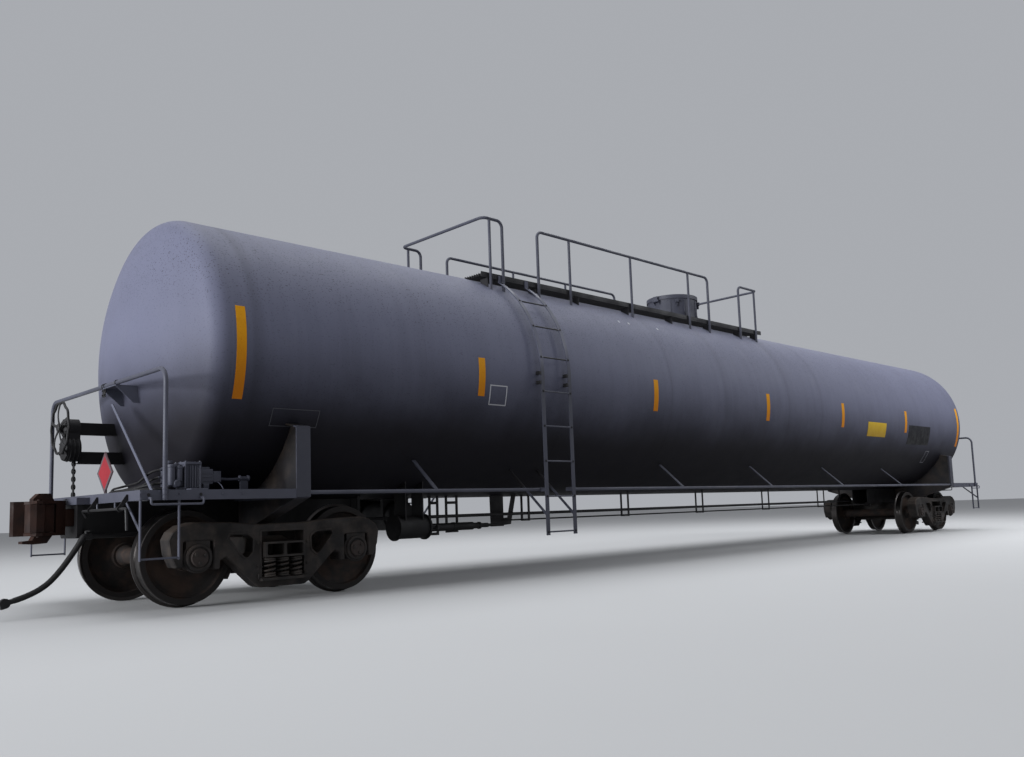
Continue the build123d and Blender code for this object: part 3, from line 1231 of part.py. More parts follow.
# Couplers: shank with a round butt on the yoke pin, head with guard arm and shelves.
# Plans are drawn with x forward from the pulling face and y across, on the coupler line.
COUPLER_BUTT_R = 90.0
PIN_CLEARANCE = 0.5
HEAD_HALF_HEIGHT = 165.0
CAVITY_HALF_HEIGHT = 136.0
KNUCKLE_HALF_HEIGHT = CAVITY_HALF_HEIGHT - RUNNING
KNUCKLE_PIN = (-95.0, 130.0)
KNUCKLE_PIN_R = 20.0
SHELF_HALF_WIDTH = 60.0
pivot_x = COUPLER_PIVOT_X - PULLING_FACE_X
HEAD_PLAN = [
    (-350, -64),
    (-350, 64),
    (-225, 128),
    (-110, 182),
    (-58, 178),
    (-48, 110),
    (-66, -50),
    (-30, -108),
    (55, -128),
    (78, -160),
    (60, -192),
    (-60, -192),
    (-220, -130),
]
CAVITY_PLAN = [
    (-250, -55),
    (-250, 122),
    (-205, 220),
    (200, 220),
    (200, -100),
    (-40, -108),
    (-120, -60),
]
KNUCKLE_PLAN = [
    (-130, 172),
    (-60, 176),
    (-12, 150),
    (0, 105),
    (0, 20),
    (-14, -12),
    (-46, -16),
    (-62, 8),
    (-62, 66),
    (-110, 82),
    (-226, 58),
    (-232, 104),
    (-150, 128),
]
with BuildPart() as coupler:
    with BuildSketch(Plane.XY.offset(-SHANK_HALF_HEIGHT)):
        with Locations((pivot_x, 0)):
            Circle(COUPLER_BUTT_R)
        with Locations((-330, 0)):
            Rectangle(
                -330 - pivot_x, 2 * SHANK_HALF_WIDTH, align=(Align.MAX, Align.CENTER)
            )
    extrude(amount=2 * SHANK_HALF_HEIGHT)
    with BuildSketch(Plane.XY.offset(-HEAD_HALF_HEIGHT)):
        Polygon(*HEAD_PLAN, align=None)
    extrude(amount=2 * HEAD_HALF_HEIGHT)
    with BuildSketch(Plane.XZ.offset(-SHELF_HALF_WIDTH)):
        Polygon(
            (-330, 75),
            (-250, 160),
            (-215, 235),
            (-110, 235),
            (-62, 185),
            (-62, 150),
            (-150, 100),
            align=None,
        )
        Polygon(
            (-330, -75),
            (-240, -160),
            (-190, -235),
            (-70, -242),
            (25, -235),
            (25, -212),
            (-60, -205),
            (-90, -150),
            (-150, -100),
            align=None,
        )
    extrude(amount=2 * SHELF_HALF_WIDTH)
    with BuildSketch(Plane.XY.offset(-CAVITY_HALF_HEIGHT)):
        Polygon(*CAVITY_PLAN, align=None)
    extrude(amount=2 * CAVITY_HALF_HEIGHT, mode=Mode.SUBTRACT)
    with Locations((KNUCKLE_PIN[0], KNUCKLE_PIN[1], 0)):
        Cylinder(KNUCKLE_PIN_R, 2 * HEAD_HALF_HEIGHT + 24)
    with Locations((pivot_x, 0, 0)):
        Cylinder(
            COUPLER_PIN_R + PIN_CLEARANCE, 4 * SHANK_HALF_HEIGHT, mode=Mode.SUBTRACT
        )

with BuildPart() as knuckle:
    with BuildSketch(Plane.XY.offset(-KNUCKLE_HALF_HEIGHT)):
        Polygon(*KNUCKLE_PLAN, align=None)
        with Locations(KNUCKLE_PIN):
            Circle(KNUCKLE_PIN_R + 24)
        with Locations(KNUCKLE_PIN):
            Circle(KNUCKLE_PIN_R + PIN_CLEARANCE, mode=Mode.SUBTRACT)
    extrude(amount=2 * KNUCKLE_HALF_HEIGHT)

for end, d in ENDS.items():
    coupler_place = Plane(
        origin=(d * PULLING_FACE_X, 0, COUPLER_Z), x_dir=(d, 0, 0), z_dir=(0, 0, 1)
    )
    finish(coupler_place.location * coupler.part, f"coupler_{end}")
    finish(coupler_place.location * knuckle.part, f"knuckle_{end}")

# Truck side frames: cast frames with pedestal jaws, windows and a centre opening.
# Profiles are drawn with x from the truck's middle and y as height above the rail.
FRAME_HALF_DEPTH = 92.0
FRAME_ROUND = 18.0
FRAME_EASE = 10.0
JAW_ROOF = 613.0
JAW_HALF_WIDTH = 150.0
SPRING_SEAT = 200.0
SPRING_SEAT_HALF_DEPTH = 160.0
SPRING_SEAT_PLATE = 17.0
OPENING_HALF_WIDTH = 245.0
OPENING_TOP = 685.0
JAW_OUTER_X = HALF_WHEELBASE + JAW_HALF_WIDTH
JAW_INNER_X = HALF_WHEELBASE - JAW_HALF_WIDTH
COLUMN_X = OPENING_HALF_WIDTH + 60.0
FRAME_OUTLINE = [
    (0, 752),
    (COLUMN_X - 45, 753),
    (JAW_INNER_X - 179, 780),
    (JAW_INNER_X + 201, 792),
    (JAW_OUTER_X + 21, 764),
    (JAW_OUTER_X + 106, 706),
    (JAW_OUTER_X + 145, 632),
    (JAW_OUTER_X + 126, 500),
    (JAW_OUTER_X + 68, 370),
    (JAW_OUTER_X, 370),
    (JAW_OUTER_X, JAW_ROOF),
    (JAW_INNER_X, JAW_ROOF),
    (JAW_INNER_X, 337),
    (JAW_INNER_X - 63, 337),
    (JAW_INNER_X - 68, 420),
    (JAW_INNER_X - 122, 447),
    (JAW_INNER_X - 176, 406),
    (COLUMN_X - 16, 150),
    (COLUMN_X - 60, 126),
    (0, 126),
]
FRAME_WINDOW = [
    (COLUMN_X + 14, 615),
    (COLUMN_X + 80, 662),
    (JAW_INNER_X - 160, 668),
    (JAW_INNER_X - 146, 618),
    (COLUMN_X + 125, 430),
    (COLUMN_X + 82, 416),
    (COLUMN_X + 18, 480),
]
truck_centre = {end: Location((d * TRUCK_X, 0, 0)) for end, d in ENDS.items()}
with BuildPart() as side_frame_pair:
    with BuildSketch(Plane.XZ.offset(JOURNAL_Y - FRAME_HALF_DEPTH)) as frame_face:
        with Locations((0, RAIL_TOP)):
            Polygon(*FRAME_OUTLINE, align=None)
            Polygon(*FRAME_WINDOW, align=None, mode=Mode.SUBTRACT)
        mirror(about=Plane.YZ)
        with Locations((0, RAIL_TOP + SPRING_SEAT)):
            Rectangle(
                2 * OPENING_HALF_WIDTH,
                OPENING_TOP - SPRING_SEAT,
                align=(Align.CENTER, Align.MIN),
                mode=Mode.SUBTRACT,
            )
        fillet(frame_face.vertices(), FRAME_ROUND)
    extrude(amount=2 * FRAME_HALF_DEPTH)
    chamfer(side_frame_pair.edges().group_by(Axis.Y)[0], FRAME_EASE)
    with BuildSketch(Plane.XY.offset(RAIL_TOP + SPRING_SEAT - 8)):
        with Locations((0, -JOURNAL_Y)):
            Rectangle(2 * OPENING_HALF_WIDTH + 40, 2 * SPRING_SEAT_HALF_DEPTH)
    extrude(amount=SPRING_SEAT_PLATE + 8)
    mirror(about=Plane.XZ)

# Truck springs: two rows of three under each end of the truck bolster
SPRING_R = 68.0
SPRING_PITCH_X = 150.0
SPRING_PITCH_Y = 156.0
BOLSTER_SEAT = 420.0
with BuildPart() as spring_set:
    with BuildSketch(Plane.XY.offset(RAIL_TOP + SPRING_SEAT + SPRING_SEAT_PLATE + SEAT)):
        with Locations((0, -JOURNAL_Y), (0, JOURNAL_Y)):
            with GridLocations(SPRING_PITCH_X, SPRING_PITCH_Y, 3, 2):
                Circle(SPRING_R)
    extrude(amount=BOLSTER_SEAT - SPRING_SEAT - SPRING_SEAT_PLATE - 2 * SEAT)

# Truck bolster: a deep box beam with open ends, centre bowl and side bearings
BOLSTER_BEAM_HALF = 225.0
BOLSTER_BEAM_END = 1153.0
BOLSTER_BEAM_TOP = 620.0
BOLSTER_BEAM_BOTTOM = 345.0
BOLSTER_END_TOP_Z = 570.0
BOWL_RING_R = 232.0
BOWL_RING_TOP = 660.0
SIDE_BEARING_Y = 635.0
with BuildPart() as bolster_beam:
    with BuildSketch(Plane.YZ.offset(-BOLSTER_BEAM_HALF)):
        with Locations((0, RAIL_TOP)):
            Polygon(
                (0, BOLSTER_BEAM_TOP),
                (680, BOLSTER_BEAM_TOP),
                (840, BOLSTER_END_TOP_Z),
                (BOLSTER_BEAM_END, BOLSTER_END_TOP_Z),
                (BOLSTER_BEAM_END, BOLSTER_SEAT),
                (840, BOLSTER_SEAT),
                (560, BOLSTER_BEAM_BOTTOM),
                (0, BOLSTER_BEAM_BOTTOM),
                align=None,
            )
        mirror(about=Plane.YZ)
    extrude(amount=2 * BOLSTER_BEAM_HALF)
    for side in (-1, 1):
        with BuildSketch(Plane.XZ.offset(side * BOLSTER_BEAM_END)):
            with Locations((0, RAIL_TOP + (BOLSTER_SEAT + BOLSTER_END_TOP_Z) / 2)):
                with GridLocations(215, 1, 2, 1):
                    RectangleRounded(190, BOLSTER_END_TOP_Z - BOLSTER_SEAT - 36, 16)
        extrude(amount=-side * 240, mode=Mode.SUBTRACT)
    with BuildSketch(Plane.XY.offset(RAIL_TOP + BOLSTER_BEAM_TOP - 10)):
        Circle(BOWL_RING_R)
    extrude(amount=BOWL_RING_TOP - BOLSTER_BEAM_TOP + 10)
    with BuildSketch(Plane.XY.offset(CENTER_PLATE_Z - SEAT)):
        Circle(CENTER_PLATE_R + RUNNING)
    extrude(amount=100, mode=Mode.SUBTRACT)
    for side in (-1, 1):
        bearing_top = BOLSTER_ROOT_Z - RAIL_TOP + 15 - RUNNING
        with Locations((0, side * SIDE_BEARING_Y, RAIL_TOP + BOLSTER_BEAM_TOP)):
            Box(130, 80, bearing_top - BOLSTER_BEAM_TOP, align=(Align.CENTER, Align.CENTER, Align.MIN))

# Brake beams with a shoe against each wheel's inboard side
BEAM_TO_AXLE = 544.0
BEAM_HALF_DEPTH = 26.0
BEAM_X = HALF_WHEELBASE - BEAM_TO_AXLE
BEAM_Z = BOLSTER_BEAM_BOTTOM - RUNNING - BEAM_HALF_DEPTH
SHOE_GAP = 8.0
SHOE_THICK = 34.0
SHOE_Y = (722.0, 804.0)
wheel_centre = (HALF_WHEELBASE, AXLE_Z)
with BuildPart() as brake_beam_pair:
    with Locations((BEAM_X, 0, RAIL_TOP + BEAM_Z)):
        Box(2 * BEAM_HALF_DEPTH, 2 * SHOE_Y[1], 2 * BEAM_HALF_DEPTH)
    with Locations((BEAM_X, 0, RAIL_TOP + BEAM_Z)):
        Box(30, 2 * (JOURNAL_Y - FRAME_HALF_DEPTH - SEAT), 30)
    for side in (-1, 1):
        with BuildSketch(Plane.XZ.offset(-side * SHOE_Y[0])):
            with Locations(wheel_centre):
                Circle(TREAD_RADIUS + SHOE_GAP + SHOE_THICK)
            with Locations((BEAM_X, RAIL_TOP + BEAM_Z + 15)):
                Rectangle(
                    260, 220, align=(Align.MIN, Align.CENTER), mode=Mode.INTERSECT
                )
            with Locations((BEAM_X, RAIL_TOP + BEAM_Z)):
                Rectangle(62, 90, align=(Align.MIN, Align.CENTER))
            with Locations(wheel_centre):
                Circle(TREAD_RADIUS + SHOE_GAP, mode=Mode.SUBTRACT)
        extrude(amount=-side * (SHOE_Y[1] - SHOE_Y[0]))
    mirror(about=Plane.YZ)

# Roller bearing cups and their adapters in the pedestal jaws
CUP_R = 126.0
CUP_HALF_LENGTH = 98.0
JOURNAL_CLEARANCE = 0.5
ADAPTER_HALF_WIDTH = 118.0
ADAPTER_BOTTOM = 520.0
with BuildPart() as bearing_set:
    for x in (-HALF_WHEELBASE, HALF_WHEELBASE):
        with BuildSketch(Plane.XZ.offset(JOURNAL_Y - CUP_HALF_LENGTH)):
            with Locations((x, AXLE_Z)):
                Circle(CUP_R)
        extrude(amount=2 * CUP_HALF_LENGTH)
        with BuildSketch(Plane.XZ.offset(JOURNAL_Y - 80)):
            with Locations((x, RAIL_TOP + ADAPTER_BOTTOM)):
                Rectangle(
                    2 * ADAPTER_HALF_WIDTH,
                    JAW_ROOF - SEAT - ADAPTER_BOTTOM,
                    align=(Align.CENTER, Align.MIN),
                )
        extrude(amount=160)
        with BuildSketch(Plane.XZ.offset(JOURNAL_Y - CUP_HALF_LENGTH - 1)):
            with Locations((x, AXLE_Z)):
                Circle(JOURNAL_R + JOURNAL_CLEARANCE)
        extrude(amount=2 * CUP_HALF_LENGTH + 2, mode=Mode.SUBTRACT)
    mirror(about=Plane.XZ)

TRUCK_PIECES = {
    "side_frames": side_frame_pair,
    "truck_springs": spring_set,
    "truck_bolster": bolster_beam,
    "brake_beams": brake_beam_pair,
    "bearings": bearing_set,
}
for end in ENDS:
    for label, piece in TRUCK_PIECES.items():
        finish(piece.part.moved(truck_centre[end]), f"{label}_{end}")

# Axles: raised wheel seats, dust guards, journals and end caps
# columns: distance from the middle, radius
AXLE_PROFILE = [
    (0, 82.0),
    (560, 88.0),
    (640, WHEEL_SEAT_R),
    (850, WHEEL_SEAT_R),
    (872, 95.0),
    (880, 95.0),
    (880, 116.0),
    (898, 116.0),
    (898, JOURNAL_R),
    (1112, JOURNAL_R),
    (1112, 86.0),
    (1132, 80.0),
    (1132, 0),
    (0, 0),
]
WHEEL_AXIS = Axis((0, 0, AXLE_Z), (0, 1, 0))
with BuildPart() as axle:
    with BuildSketch(Plane.YZ):
        with Locations((0, AXLE_Z)):
            Polygon(*AXLE_PROFILE, align=None)
    revolve(axis=WHEEL_AXIS)
    mirror(about=Plane.XZ)

# Wheels: flanged and coned tread, dished plate and hub, pressed on the wheel seats
FLANGE_R = TREAD_RADIUS + FLANGE_HEIGHT
WHEEL_INNER_Y = BACK_TO_BACK / 2
WHEEL_OUTER_Y = WHEEL_INNER_Y + RIM_WIDTH
RIM_INNER_R = 394.0
HUB_R = 140.0
HUB_INNER_Y = WHEEL_INNER_Y - 10.0
HUB_OUTER_Y = WHEEL_OUTER_Y + 23.0
# columns: distance from the car's middle, radius
WHEEL_PROFILE = [
    (WHEEL_INNER_Y, RIM_INNER_R),
    (WHEEL_INNER_Y, FLANGE_R - 8),
    (WHEEL_INNER_Y + 7, FLANGE_R),
    (WHEEL_INNER_Y + 19, FLANGE_R),
    (WHEEL_INNER_Y + 33, TREAD_RADIUS + 2.5),
    (WHEEL_OUTER_Y - 6, TREAD_RADIUS - 3.5),
    (WHEEL_OUTER_Y, TREAD_RADIUS - 9.5),
    (WHEEL_OUTER_Y, RIM_INNER_R),
    (783, RIM_INNER_R - 12),
    (764, 340),
    (748, 190),
    (762, HUB_R),
    (HUB_OUTER_Y, HUB_R - 6),
    (HUB_OUTER_Y, WHEEL_SEAT_R + SEAT),
    (HUB_INNER_Y, WHEEL_SEAT_R + SEAT),
    (HUB_INNER_Y, HUB_R - 6),
    (712, HUB_R),
    (722, 190),
    (738, 340),
    (724, RIM_INNER_R - 12),
]
with BuildPart() as wheel_pair:
    with BuildSketch(Plane.YZ):
        with Locations((0, AXLE_Z)):
            Polygon(*WHEEL_PROFILE, align=None)
    revolve(axis=WHEEL_AXIS)
    mirror(about=Plane.XZ)

WHEELSET_X = [
    -TRUCK_X - HALF_WHEELBASE,
    -TRUCK_X + HALF_WHEELBASE,
    TRUCK_X - HALF_WHEELBASE,
    TRUCK_X + HALF_WHEELBASE,
]
for number, x in enumerate(WHEELSET_X, start=1):
    place = Location((x, 0, 0))
    finish(axle.part.moved(place), f"axle_{number}")
    finish(wheel_pair.part.moved(place), f"wheels_{number}")
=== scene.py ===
"""Railway tank car: fine surfaces, finishes, air hoses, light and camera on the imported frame.

Metres. X runs along the car with the hand brake end at -X, Y is 0 on the centre line and Z is 0 at
the tips of the wheel flanges.
"""

import logging
from collections.abc import Sequence
from dataclasses import dataclass, replace
from enum import Enum
from math import asin, cos, pi, radians, sin, sqrt

import bmesh
import bpy
import numpy as np
from mathutils import Matrix, Vector


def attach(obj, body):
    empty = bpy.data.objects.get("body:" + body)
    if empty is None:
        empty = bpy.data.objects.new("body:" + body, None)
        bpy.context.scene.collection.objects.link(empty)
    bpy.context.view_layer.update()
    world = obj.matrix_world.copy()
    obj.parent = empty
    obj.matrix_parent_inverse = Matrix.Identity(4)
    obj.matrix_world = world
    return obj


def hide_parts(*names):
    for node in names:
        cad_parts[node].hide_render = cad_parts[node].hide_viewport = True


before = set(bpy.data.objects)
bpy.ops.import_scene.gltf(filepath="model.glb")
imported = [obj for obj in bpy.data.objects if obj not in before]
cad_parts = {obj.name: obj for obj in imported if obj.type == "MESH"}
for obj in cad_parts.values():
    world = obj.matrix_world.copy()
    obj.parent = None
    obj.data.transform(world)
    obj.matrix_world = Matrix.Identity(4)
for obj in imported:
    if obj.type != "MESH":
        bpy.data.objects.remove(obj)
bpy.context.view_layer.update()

log = logging.getLogger("tank_car")

Array = np.ndarray
Place = tuple[float, float, float]
Colour = tuple[float, float, float]
Box = tuple[float, float, float, float]
Socket = bpy.types.NodeSocket

RAIL_TOP = 0.0254
WHEEL_CENTRE = 0.4826
DECK = RAIL_TOP + 1.085
TANK_AXIS = RAIL_TOP + 2.497
TANK_RADIUS = 1.4985
TRUCK_CENTRE = 8.5
AXLE_XS = (-9.389, -7.611, 7.611, 9.389)
SEAT = 0.0003


class Axis(Enum):
    """The three directions, as the place of their number in a point."""

    X = 0
    Y = 1
    Z = 2


class Side(Enum):
    """The two sides of the car, as the sign of Y."""

    NEAR = -1.0
    FAR = 1.0


class CarEnd(Enum):
    """The two ends of the car, as the sign of X."""

    BRAKE = -1.0
    PLAIN = 1.0

    @property
    def letter(self) -> str:
        """The letter that ends this end's node names."""
        return "b" if self is CarEnd.BRAKE else "a"


class Facing(Enum):
    """Which way a bolt's head looks, as the directions of its own X and Y."""

    UP = ((1, 0, 0), (0, 1, 0))
    NEAR = ((1, 0, 0), (0, 0, 1))
    BRAKE_END = ((0, 1, 0), (0, 0, -1))


# Surfaces


@dataclass(frozen=True)
class Surface:
    """Points of a mesh and the corner numbers of its four-sided faces."""

    points: Array
    faces: Array

    def moved(self, offset: Sequence[float]) -> "Surface":
        """The same surface with the offset added to every point."""
        return Surface(self.points + np.asarray(offset, dtype=float), self.faces)


def unit(vectors: Array) -> Array:
    """Each vector divided by its length."""
    return vectors / np.linalg.norm(vectors, axis=-1, keepdims=True)


def spots(x: Array | float, y: Array | float, z: Array | float) -> Array:
    """Points from three rows of numbers, where a single number stands for a whole row."""
    return np.stack(np.broadcast_arrays(x, y, z), axis=-1).astype(float)


def lattice(xs: Sequence[float], ys: Sequence[float], zs: Sequence[float]) -> Array:
    """The points of every combination of an x, a y and a z."""
    return np.stack(np.meshgrid(xs, ys, zs, indexing="ij"), axis=-1).reshape(-1, 3)


def joined(surfaces: Sequence[Surface]) -> Surface:
    """One surface of several, with each face's numbers moved on by the count of points before it.

    Args:
        surfaces: The surfaces.

    Returns:
        All of them as one.
    """
    counts = np.cumsum([0] + [len(s.points) for s in surfaces[:-1]])
    points = np.concatenate([s.points for s in surfaces])
    faces = np.concatenate([s.faces + count for s, count in zip(surfaces, counts)])
    return Surface(points, faces)


def grid(points: Array, wrap_rows: bool = False, wrap_cols: bool = False) -> Surface:
    """Faces between the neighbouring rows and columns of a grid of points.

    Face (i, j) has the corners (i, j), (i + 1, j), (i + 1, j + 1) and (i, j + 1).

    Args:
        points: The grid, rows by columns by 3.
        wrap_rows: Joins the last row to the first.
        wrap_cols: Joins the last column to the first.

    Returns:
        The surface.
    """
    rows, cols = points.shape[:2]
    number = np.arange(rows * cols).reshape(rows, cols)
    if wrap_rows:
        number = np.vstack([number, number[:1]])
    if wrap_cols:
        number = np.hstack([number, number[:, :1]])
    corners = [number[:-1, :-1], number[1:, :-1], number[1:, 1:], number[:-1, 1:]]
    return Surface(points.reshape(-1, 3), np.stack([c.ravel() for c in corners], axis=1))


def circle(radius: float, sides: int) -> Array:
    """Points (radius cos t, radius sin t) at even steps of t."""
    turn = np.linspace(0.0, 2.0 * pi, sides, endpoint=False)
    return radius * np.stack([np.cos(turn), np.sin(turn)], axis=1)


def rectangle(width: float, height: float, corner: float = 0.0, steps: int = 3) -> Array:
    """Outline of a rectangle whose corners are quarter circles.

    Each corner's points are its centre plus corner times (cos t, sin t) over a quarter turn.

    Args:
        width: Size along the first direction.
        height: Size along the second direction.
        corner: Radius of the corners, 0 for sharp ones.
        steps: Points in each rounded corner.

    Returns:
        The outline, points by 2.
    """
    signs = np.array([[1, 1], [-1, 1], [-1, -1], [1, -1]], dtype=float)
    centres = signs * (np.array([width, height]) / 2.0 - corner)
    if corner == 0.0:
        return centres
    start = np.arange(4)[:, None] * pi / 2.0
    turn = start + np.linspace(0.0, pi / 2.0, steps)[None, :]
    arcs = corner * np.stack([np.cos(turn), np.sin(turn)], axis=2)
    return (centres[:, None] + arcs).reshape(-1, 2)


def carried(
    profile: Array,
    path: Array,
    across: Array,
    up: Array,
    scale: Array | None = None,
    ring: bool = False,
) -> Surface:
    """A closed profile carried along a path.

    Point (i, j) is path_i + scale_i (profile_j1 across_i + profile_j2 up_i). An open path gets one
    more row of scale 0 at each end, which closes it.

    Args:
        profile: Outline round the path, points by 2.
        path: Points of the path, rows by 3.
        across: Direction of the profile's first number, one for all rows or one each.
        up: Direction of its second number, the same way.
        scale: Size of the profile in each row, 1 where it is left out.
        ring: Joins the path's end to its start.

    Returns:
        The closed surface.
    """
    path = np.asarray(path, dtype=float)
    rows = len(path)
    across = np.broadcast_to(np.asarray(across, dtype=float), (rows, 3))
    up = np.broadcast_to(np.asarray(up, dtype=float), (rows, 3))
    scale = np.ones(rows) if scale is None else np.asarray(scale, dtype=float)
    if not ring:
        ends = [0, *range(rows), rows - 1]
        path, across, up = path[ends], across[ends], up[ends]
        scale = np.concatenate([[0.0], scale, [0.0]])
    spread = profile[None, :, 0, None] * across[:, None] + profile[None, :, 1, None] * up[:, None]
    return grid(path[:, None] + scale[:, None, None] * spread, ring, True)


def tube(path: Array, radius: float, up: Place = (0, 0, 1), sides: int = 12, ring: bool = False) -> Surface:
    """A round bar along a path.

    Across is the path's direction times up, and the profile is a circle in across and their product.

    Args:
        path: Points of the centre line.
        radius: Radius of the bar.
        up: A direction that the path never follows.
        sides: Points round the bar.
        ring: Joins the bar's end to its start.

    Returns:
        The closed surface.
    """
    path = np.asarray(path, dtype=float)
    ahead = np.roll(path, -1, axis=0) - np.roll(path, 1, axis=0) if ring else np.gradient(path, axis=0)
    across = unit(np.cross(ahead, np.asarray(up, dtype=float)))
    rise = unit(np.cross(across, ahead))
    return carried(circle(radius, sides), path, across, rise, ring=ring)


def eased(corners: Sequence[Place], reach: float, steps: int = 7) -> Array:
    """A path whose inner corners are quadratic curves.

    At corner c the curve is (1 - t)^2 p + 2 t (1 - t) c + t^2 q, with p and q one reach before and
    after the corner.

    Args:
        corners: The path's points.
        reach: Distance from a corner at which its curve starts.
        steps: Points in each curve.

    Returns:
        The path, with as many numbers to a point as the corners have.
    """
    places = np.asarray(corners, dtype=float)
    middle = places[1:-1]
    before = middle + reach * unit(places[:-2] - middle)
    after = middle + reach * unit(places[2:] - middle)
    t = np.linspace(0.0, 1.0, steps)[None, :, None]
    curve = (1 - t) ** 2 * before[:, None] + 2 * t * (1 - t) * middle[:, None] + t**2 * after[:, None]
    return np.concatenate([places[:1], curve.reshape(-1, places.shape[1]), places[-1:]])


def lathe(
    profile: Sequence[tuple[float, float]], axis: Axis, centre: Place, sides: int, ring: bool = False
) -> Surface:
    """A profile turned about an axis.

    Point (i, j) is centre + along_i axis + radius_i (cos t_j u + sin t_j v), with u and v square to
    the axis. An open profile that starts and ends at radius 0 is closed at its poles.

    Args:
        profile: Distance along the axis and distance from it, row by row.
        axis: The axis.
        centre: Where the distance along it is 0.
        sides: Points round the axis.
        ring: Joins the profile's end to its start.

    Returns:
        The surface.
    """
    line, u, v = np.roll(np.eye(3), -axis.value, axis=0)
    along, radius = np.asarray(profile, dtype=float).T
    around = circle(1.0, sides)
    spokes = around[:, :1] * u + around[:, 1:] * v
    rows = np.asarray(centre, dtype=float) + along[:, None] * line
    return grid(rows[:, None] + radius[:, None, None] * spokes[None], ring, True)


def hoop(centre: Place, axis: Axis, radius: float, bar: float, points: int = 20) -> Surface:
    """A thin bar bent to a circle about an axis.

    Its line is centre + radius (cos t u + sin t v), with u and v square to the axis.

    Args:
        centre: Middle of the circle.
        axis: The axis.
        radius: Radius of the circle.
        bar: Radius of the bar.
        points: Points round the circle.

    Returns:
        The closed surface.
    """
    line, u, v = np.roll(np.eye(3), -axis.value, axis=0)
    around = circle(radius, points)
    path = np.asarray(centre, dtype=float) + around[:, :1] * u + around[:, 1:] * v
    return tube(path, bar, tuple(line), 6, True)


def plate(outline: Array, thickness: float, edge: float) -> Surface:
    """A flat plate with eased edges, from height 0 to its thickness.

    The outline is carried up Z, a little smaller in the first and last rows.

    Args:
        outline: Points round the plate's middle.
        thickness: Height of the plate.
        edge: Depth of the eased edge.

    Returns:
        The closed surface.
    """
    size = 1.0 - edge / np.linalg.norm(outline, axis=1).mean()
    heights = np.array([0.0, edge, thickness - edge, thickness])
    path = heights[:, None] * np.array([[0.0, 0.0, 1.0]])
    return carried(outline, path, (1, 0, 0), (0, 1, 0), np.array([size, 1.0, 1.0, size]))


def block(low: Place, high: Place, edge: float = 0.002) -> Surface:
    """A box with eased edges: a plate over the two corners' difference, moved to the lowest corner.

    Args:
        low: Its lowest corner.
        high: Its highest corner.
        edge: Depth of the eased edges.

    Returns:
        The closed surface.
    """
    low, high = np.asarray(low, dtype=float), np.asarray(high, dtype=float)
    size = high - low
    shape = plate(rectangle(size[0], size[1], edge, 2), size[2], edge)
    return shape.moved([(low[0] + high[0]) / 2, (low[1] + high[1]) / 2, low[2]])


def blocks(corners: Sequence[tuple[Place, Place]], edge: float = 0.002) -> Surface:
    """Boxes with eased edges as one surface, each between its lowest and its highest corner."""
    return joined([block(low, high, edge) for low, high in corners])


def stamped(
    shape: Surface, origins: Array, across: Array | Place = (1, 0, 0), up: Array | Place = (0, 1, 0)
) -> Surface:
    """One copy of a shape at each origin.

    A copy's point is origin + x across + y up + z (across x up).

    Args:
        shape: The shape, about (0, 0, 0).
        origins: Where the copies stand, copies by 3.
        across: Direction of the shape's X, one for all or one each.
        up: Direction of the shape's Y, the same way.

    Returns:
        All copies as one surface.
    """
    origins = np.asarray(origins, dtype=float)
    count = len(origins)
    across = np.broadcast_to(np.asarray(across, dtype=float), (count, 3))
    up = np.broadcast_to(np.asarray(up, dtype=float), (count, 3))
    turns = np.stack([across, up, np.cross(across, up)], axis=1)
    points = origins[:, None] + shape.points[None] @ turns
    steps = np.arange(count)[:, None, None] * len(shape.points)
    return Surface(points.reshape(-1, 3), (shape.faces[None] + steps).reshape(-1, 4))


def mirrored(surface: Surface, axis: Axis) -> Surface:
    """The same surface with the sign of one direction turned round."""
    return Surface(surface.points * np.where(np.arange(3) == axis.value, -1.0, 1.0), surface.faces)


def on_both_sides(near: Surface) -> Surface:
    """The surface and its mirror image on the other side of the car."""
    return joined([near, mirrored(near, Axis.Y)])


def at_corners(surface: Surface) -> Surface:
    """The surface and its three mirror images across the middle planes in X and Y."""
    pair = on_both_sides(surface)
    return joined([pair, mirrored(pair, Axis.X)])


def bolt_head(radius: float, height: float) -> Surface:
    """A hexagon head on a round washer, rising along Z from 0."""
    washer = plate(circle(1.3 * radius, 10), 0.25 * height, 0.05 * height)
    return joined([washer, plate(circle(radius, 6), height, 0.15 * height)])


def bolts(places: Array, radius: float, height: float, facing: Facing = Facing.UP) -> Surface:
    """Bolt heads of one size at several places, all looking one way."""
    return stamped(bolt_head(radius, height), places, *facing.value)


def make_piece(
    name: str,
    surface: Surface,
    finish: "Finish",
    replaces: Sequence[str] = (),
    body: str = "car_body",
    crease: float = 35.0,
) -> bpy.types.Object:
    """A finished piece from a surface.

    Doubled points are merged, which closes poles and seams, and the faces are turned outwards.

    Args:
        name: The piece's name.
        surface: Its points and faces.
        finish: Its finish.
        replaces: Nodes that it stands for.
        body: The body that it moves with.
        crease: Angle in degrees above which an edge stays sharp.

    Returns:
        The piece.
    """
    mesh = bpy.data.meshes.new(name)
    mesh.from_pydata(surface.points.tolist(), [], surface.faces.tolist())
    shell = bmesh.new()
    shell.from_mesh(mesh)
    bmesh.ops.remove_doubles(shell, verts=shell.verts, dist=1e-6)
    bmesh.ops.recalc_face_normals(shell, faces=shell.faces)
    shell.to_mesh(mesh)
    shell.free()
    mesh.shade_smooth()
    mesh.set_sharp_from_angle(angle=radians(crease))
    mesh.materials.append(finish.material())
    piece = bpy.data.objects.new(name, mesh)
    bpy.context.scene.collection.objects.link(piece)
    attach(piece, body)
    if replaces:
        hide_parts(*replaces)
    log.info("%s: %d faces on %s", name, len(mesh.polygons), body)
    return piece


# Finishes


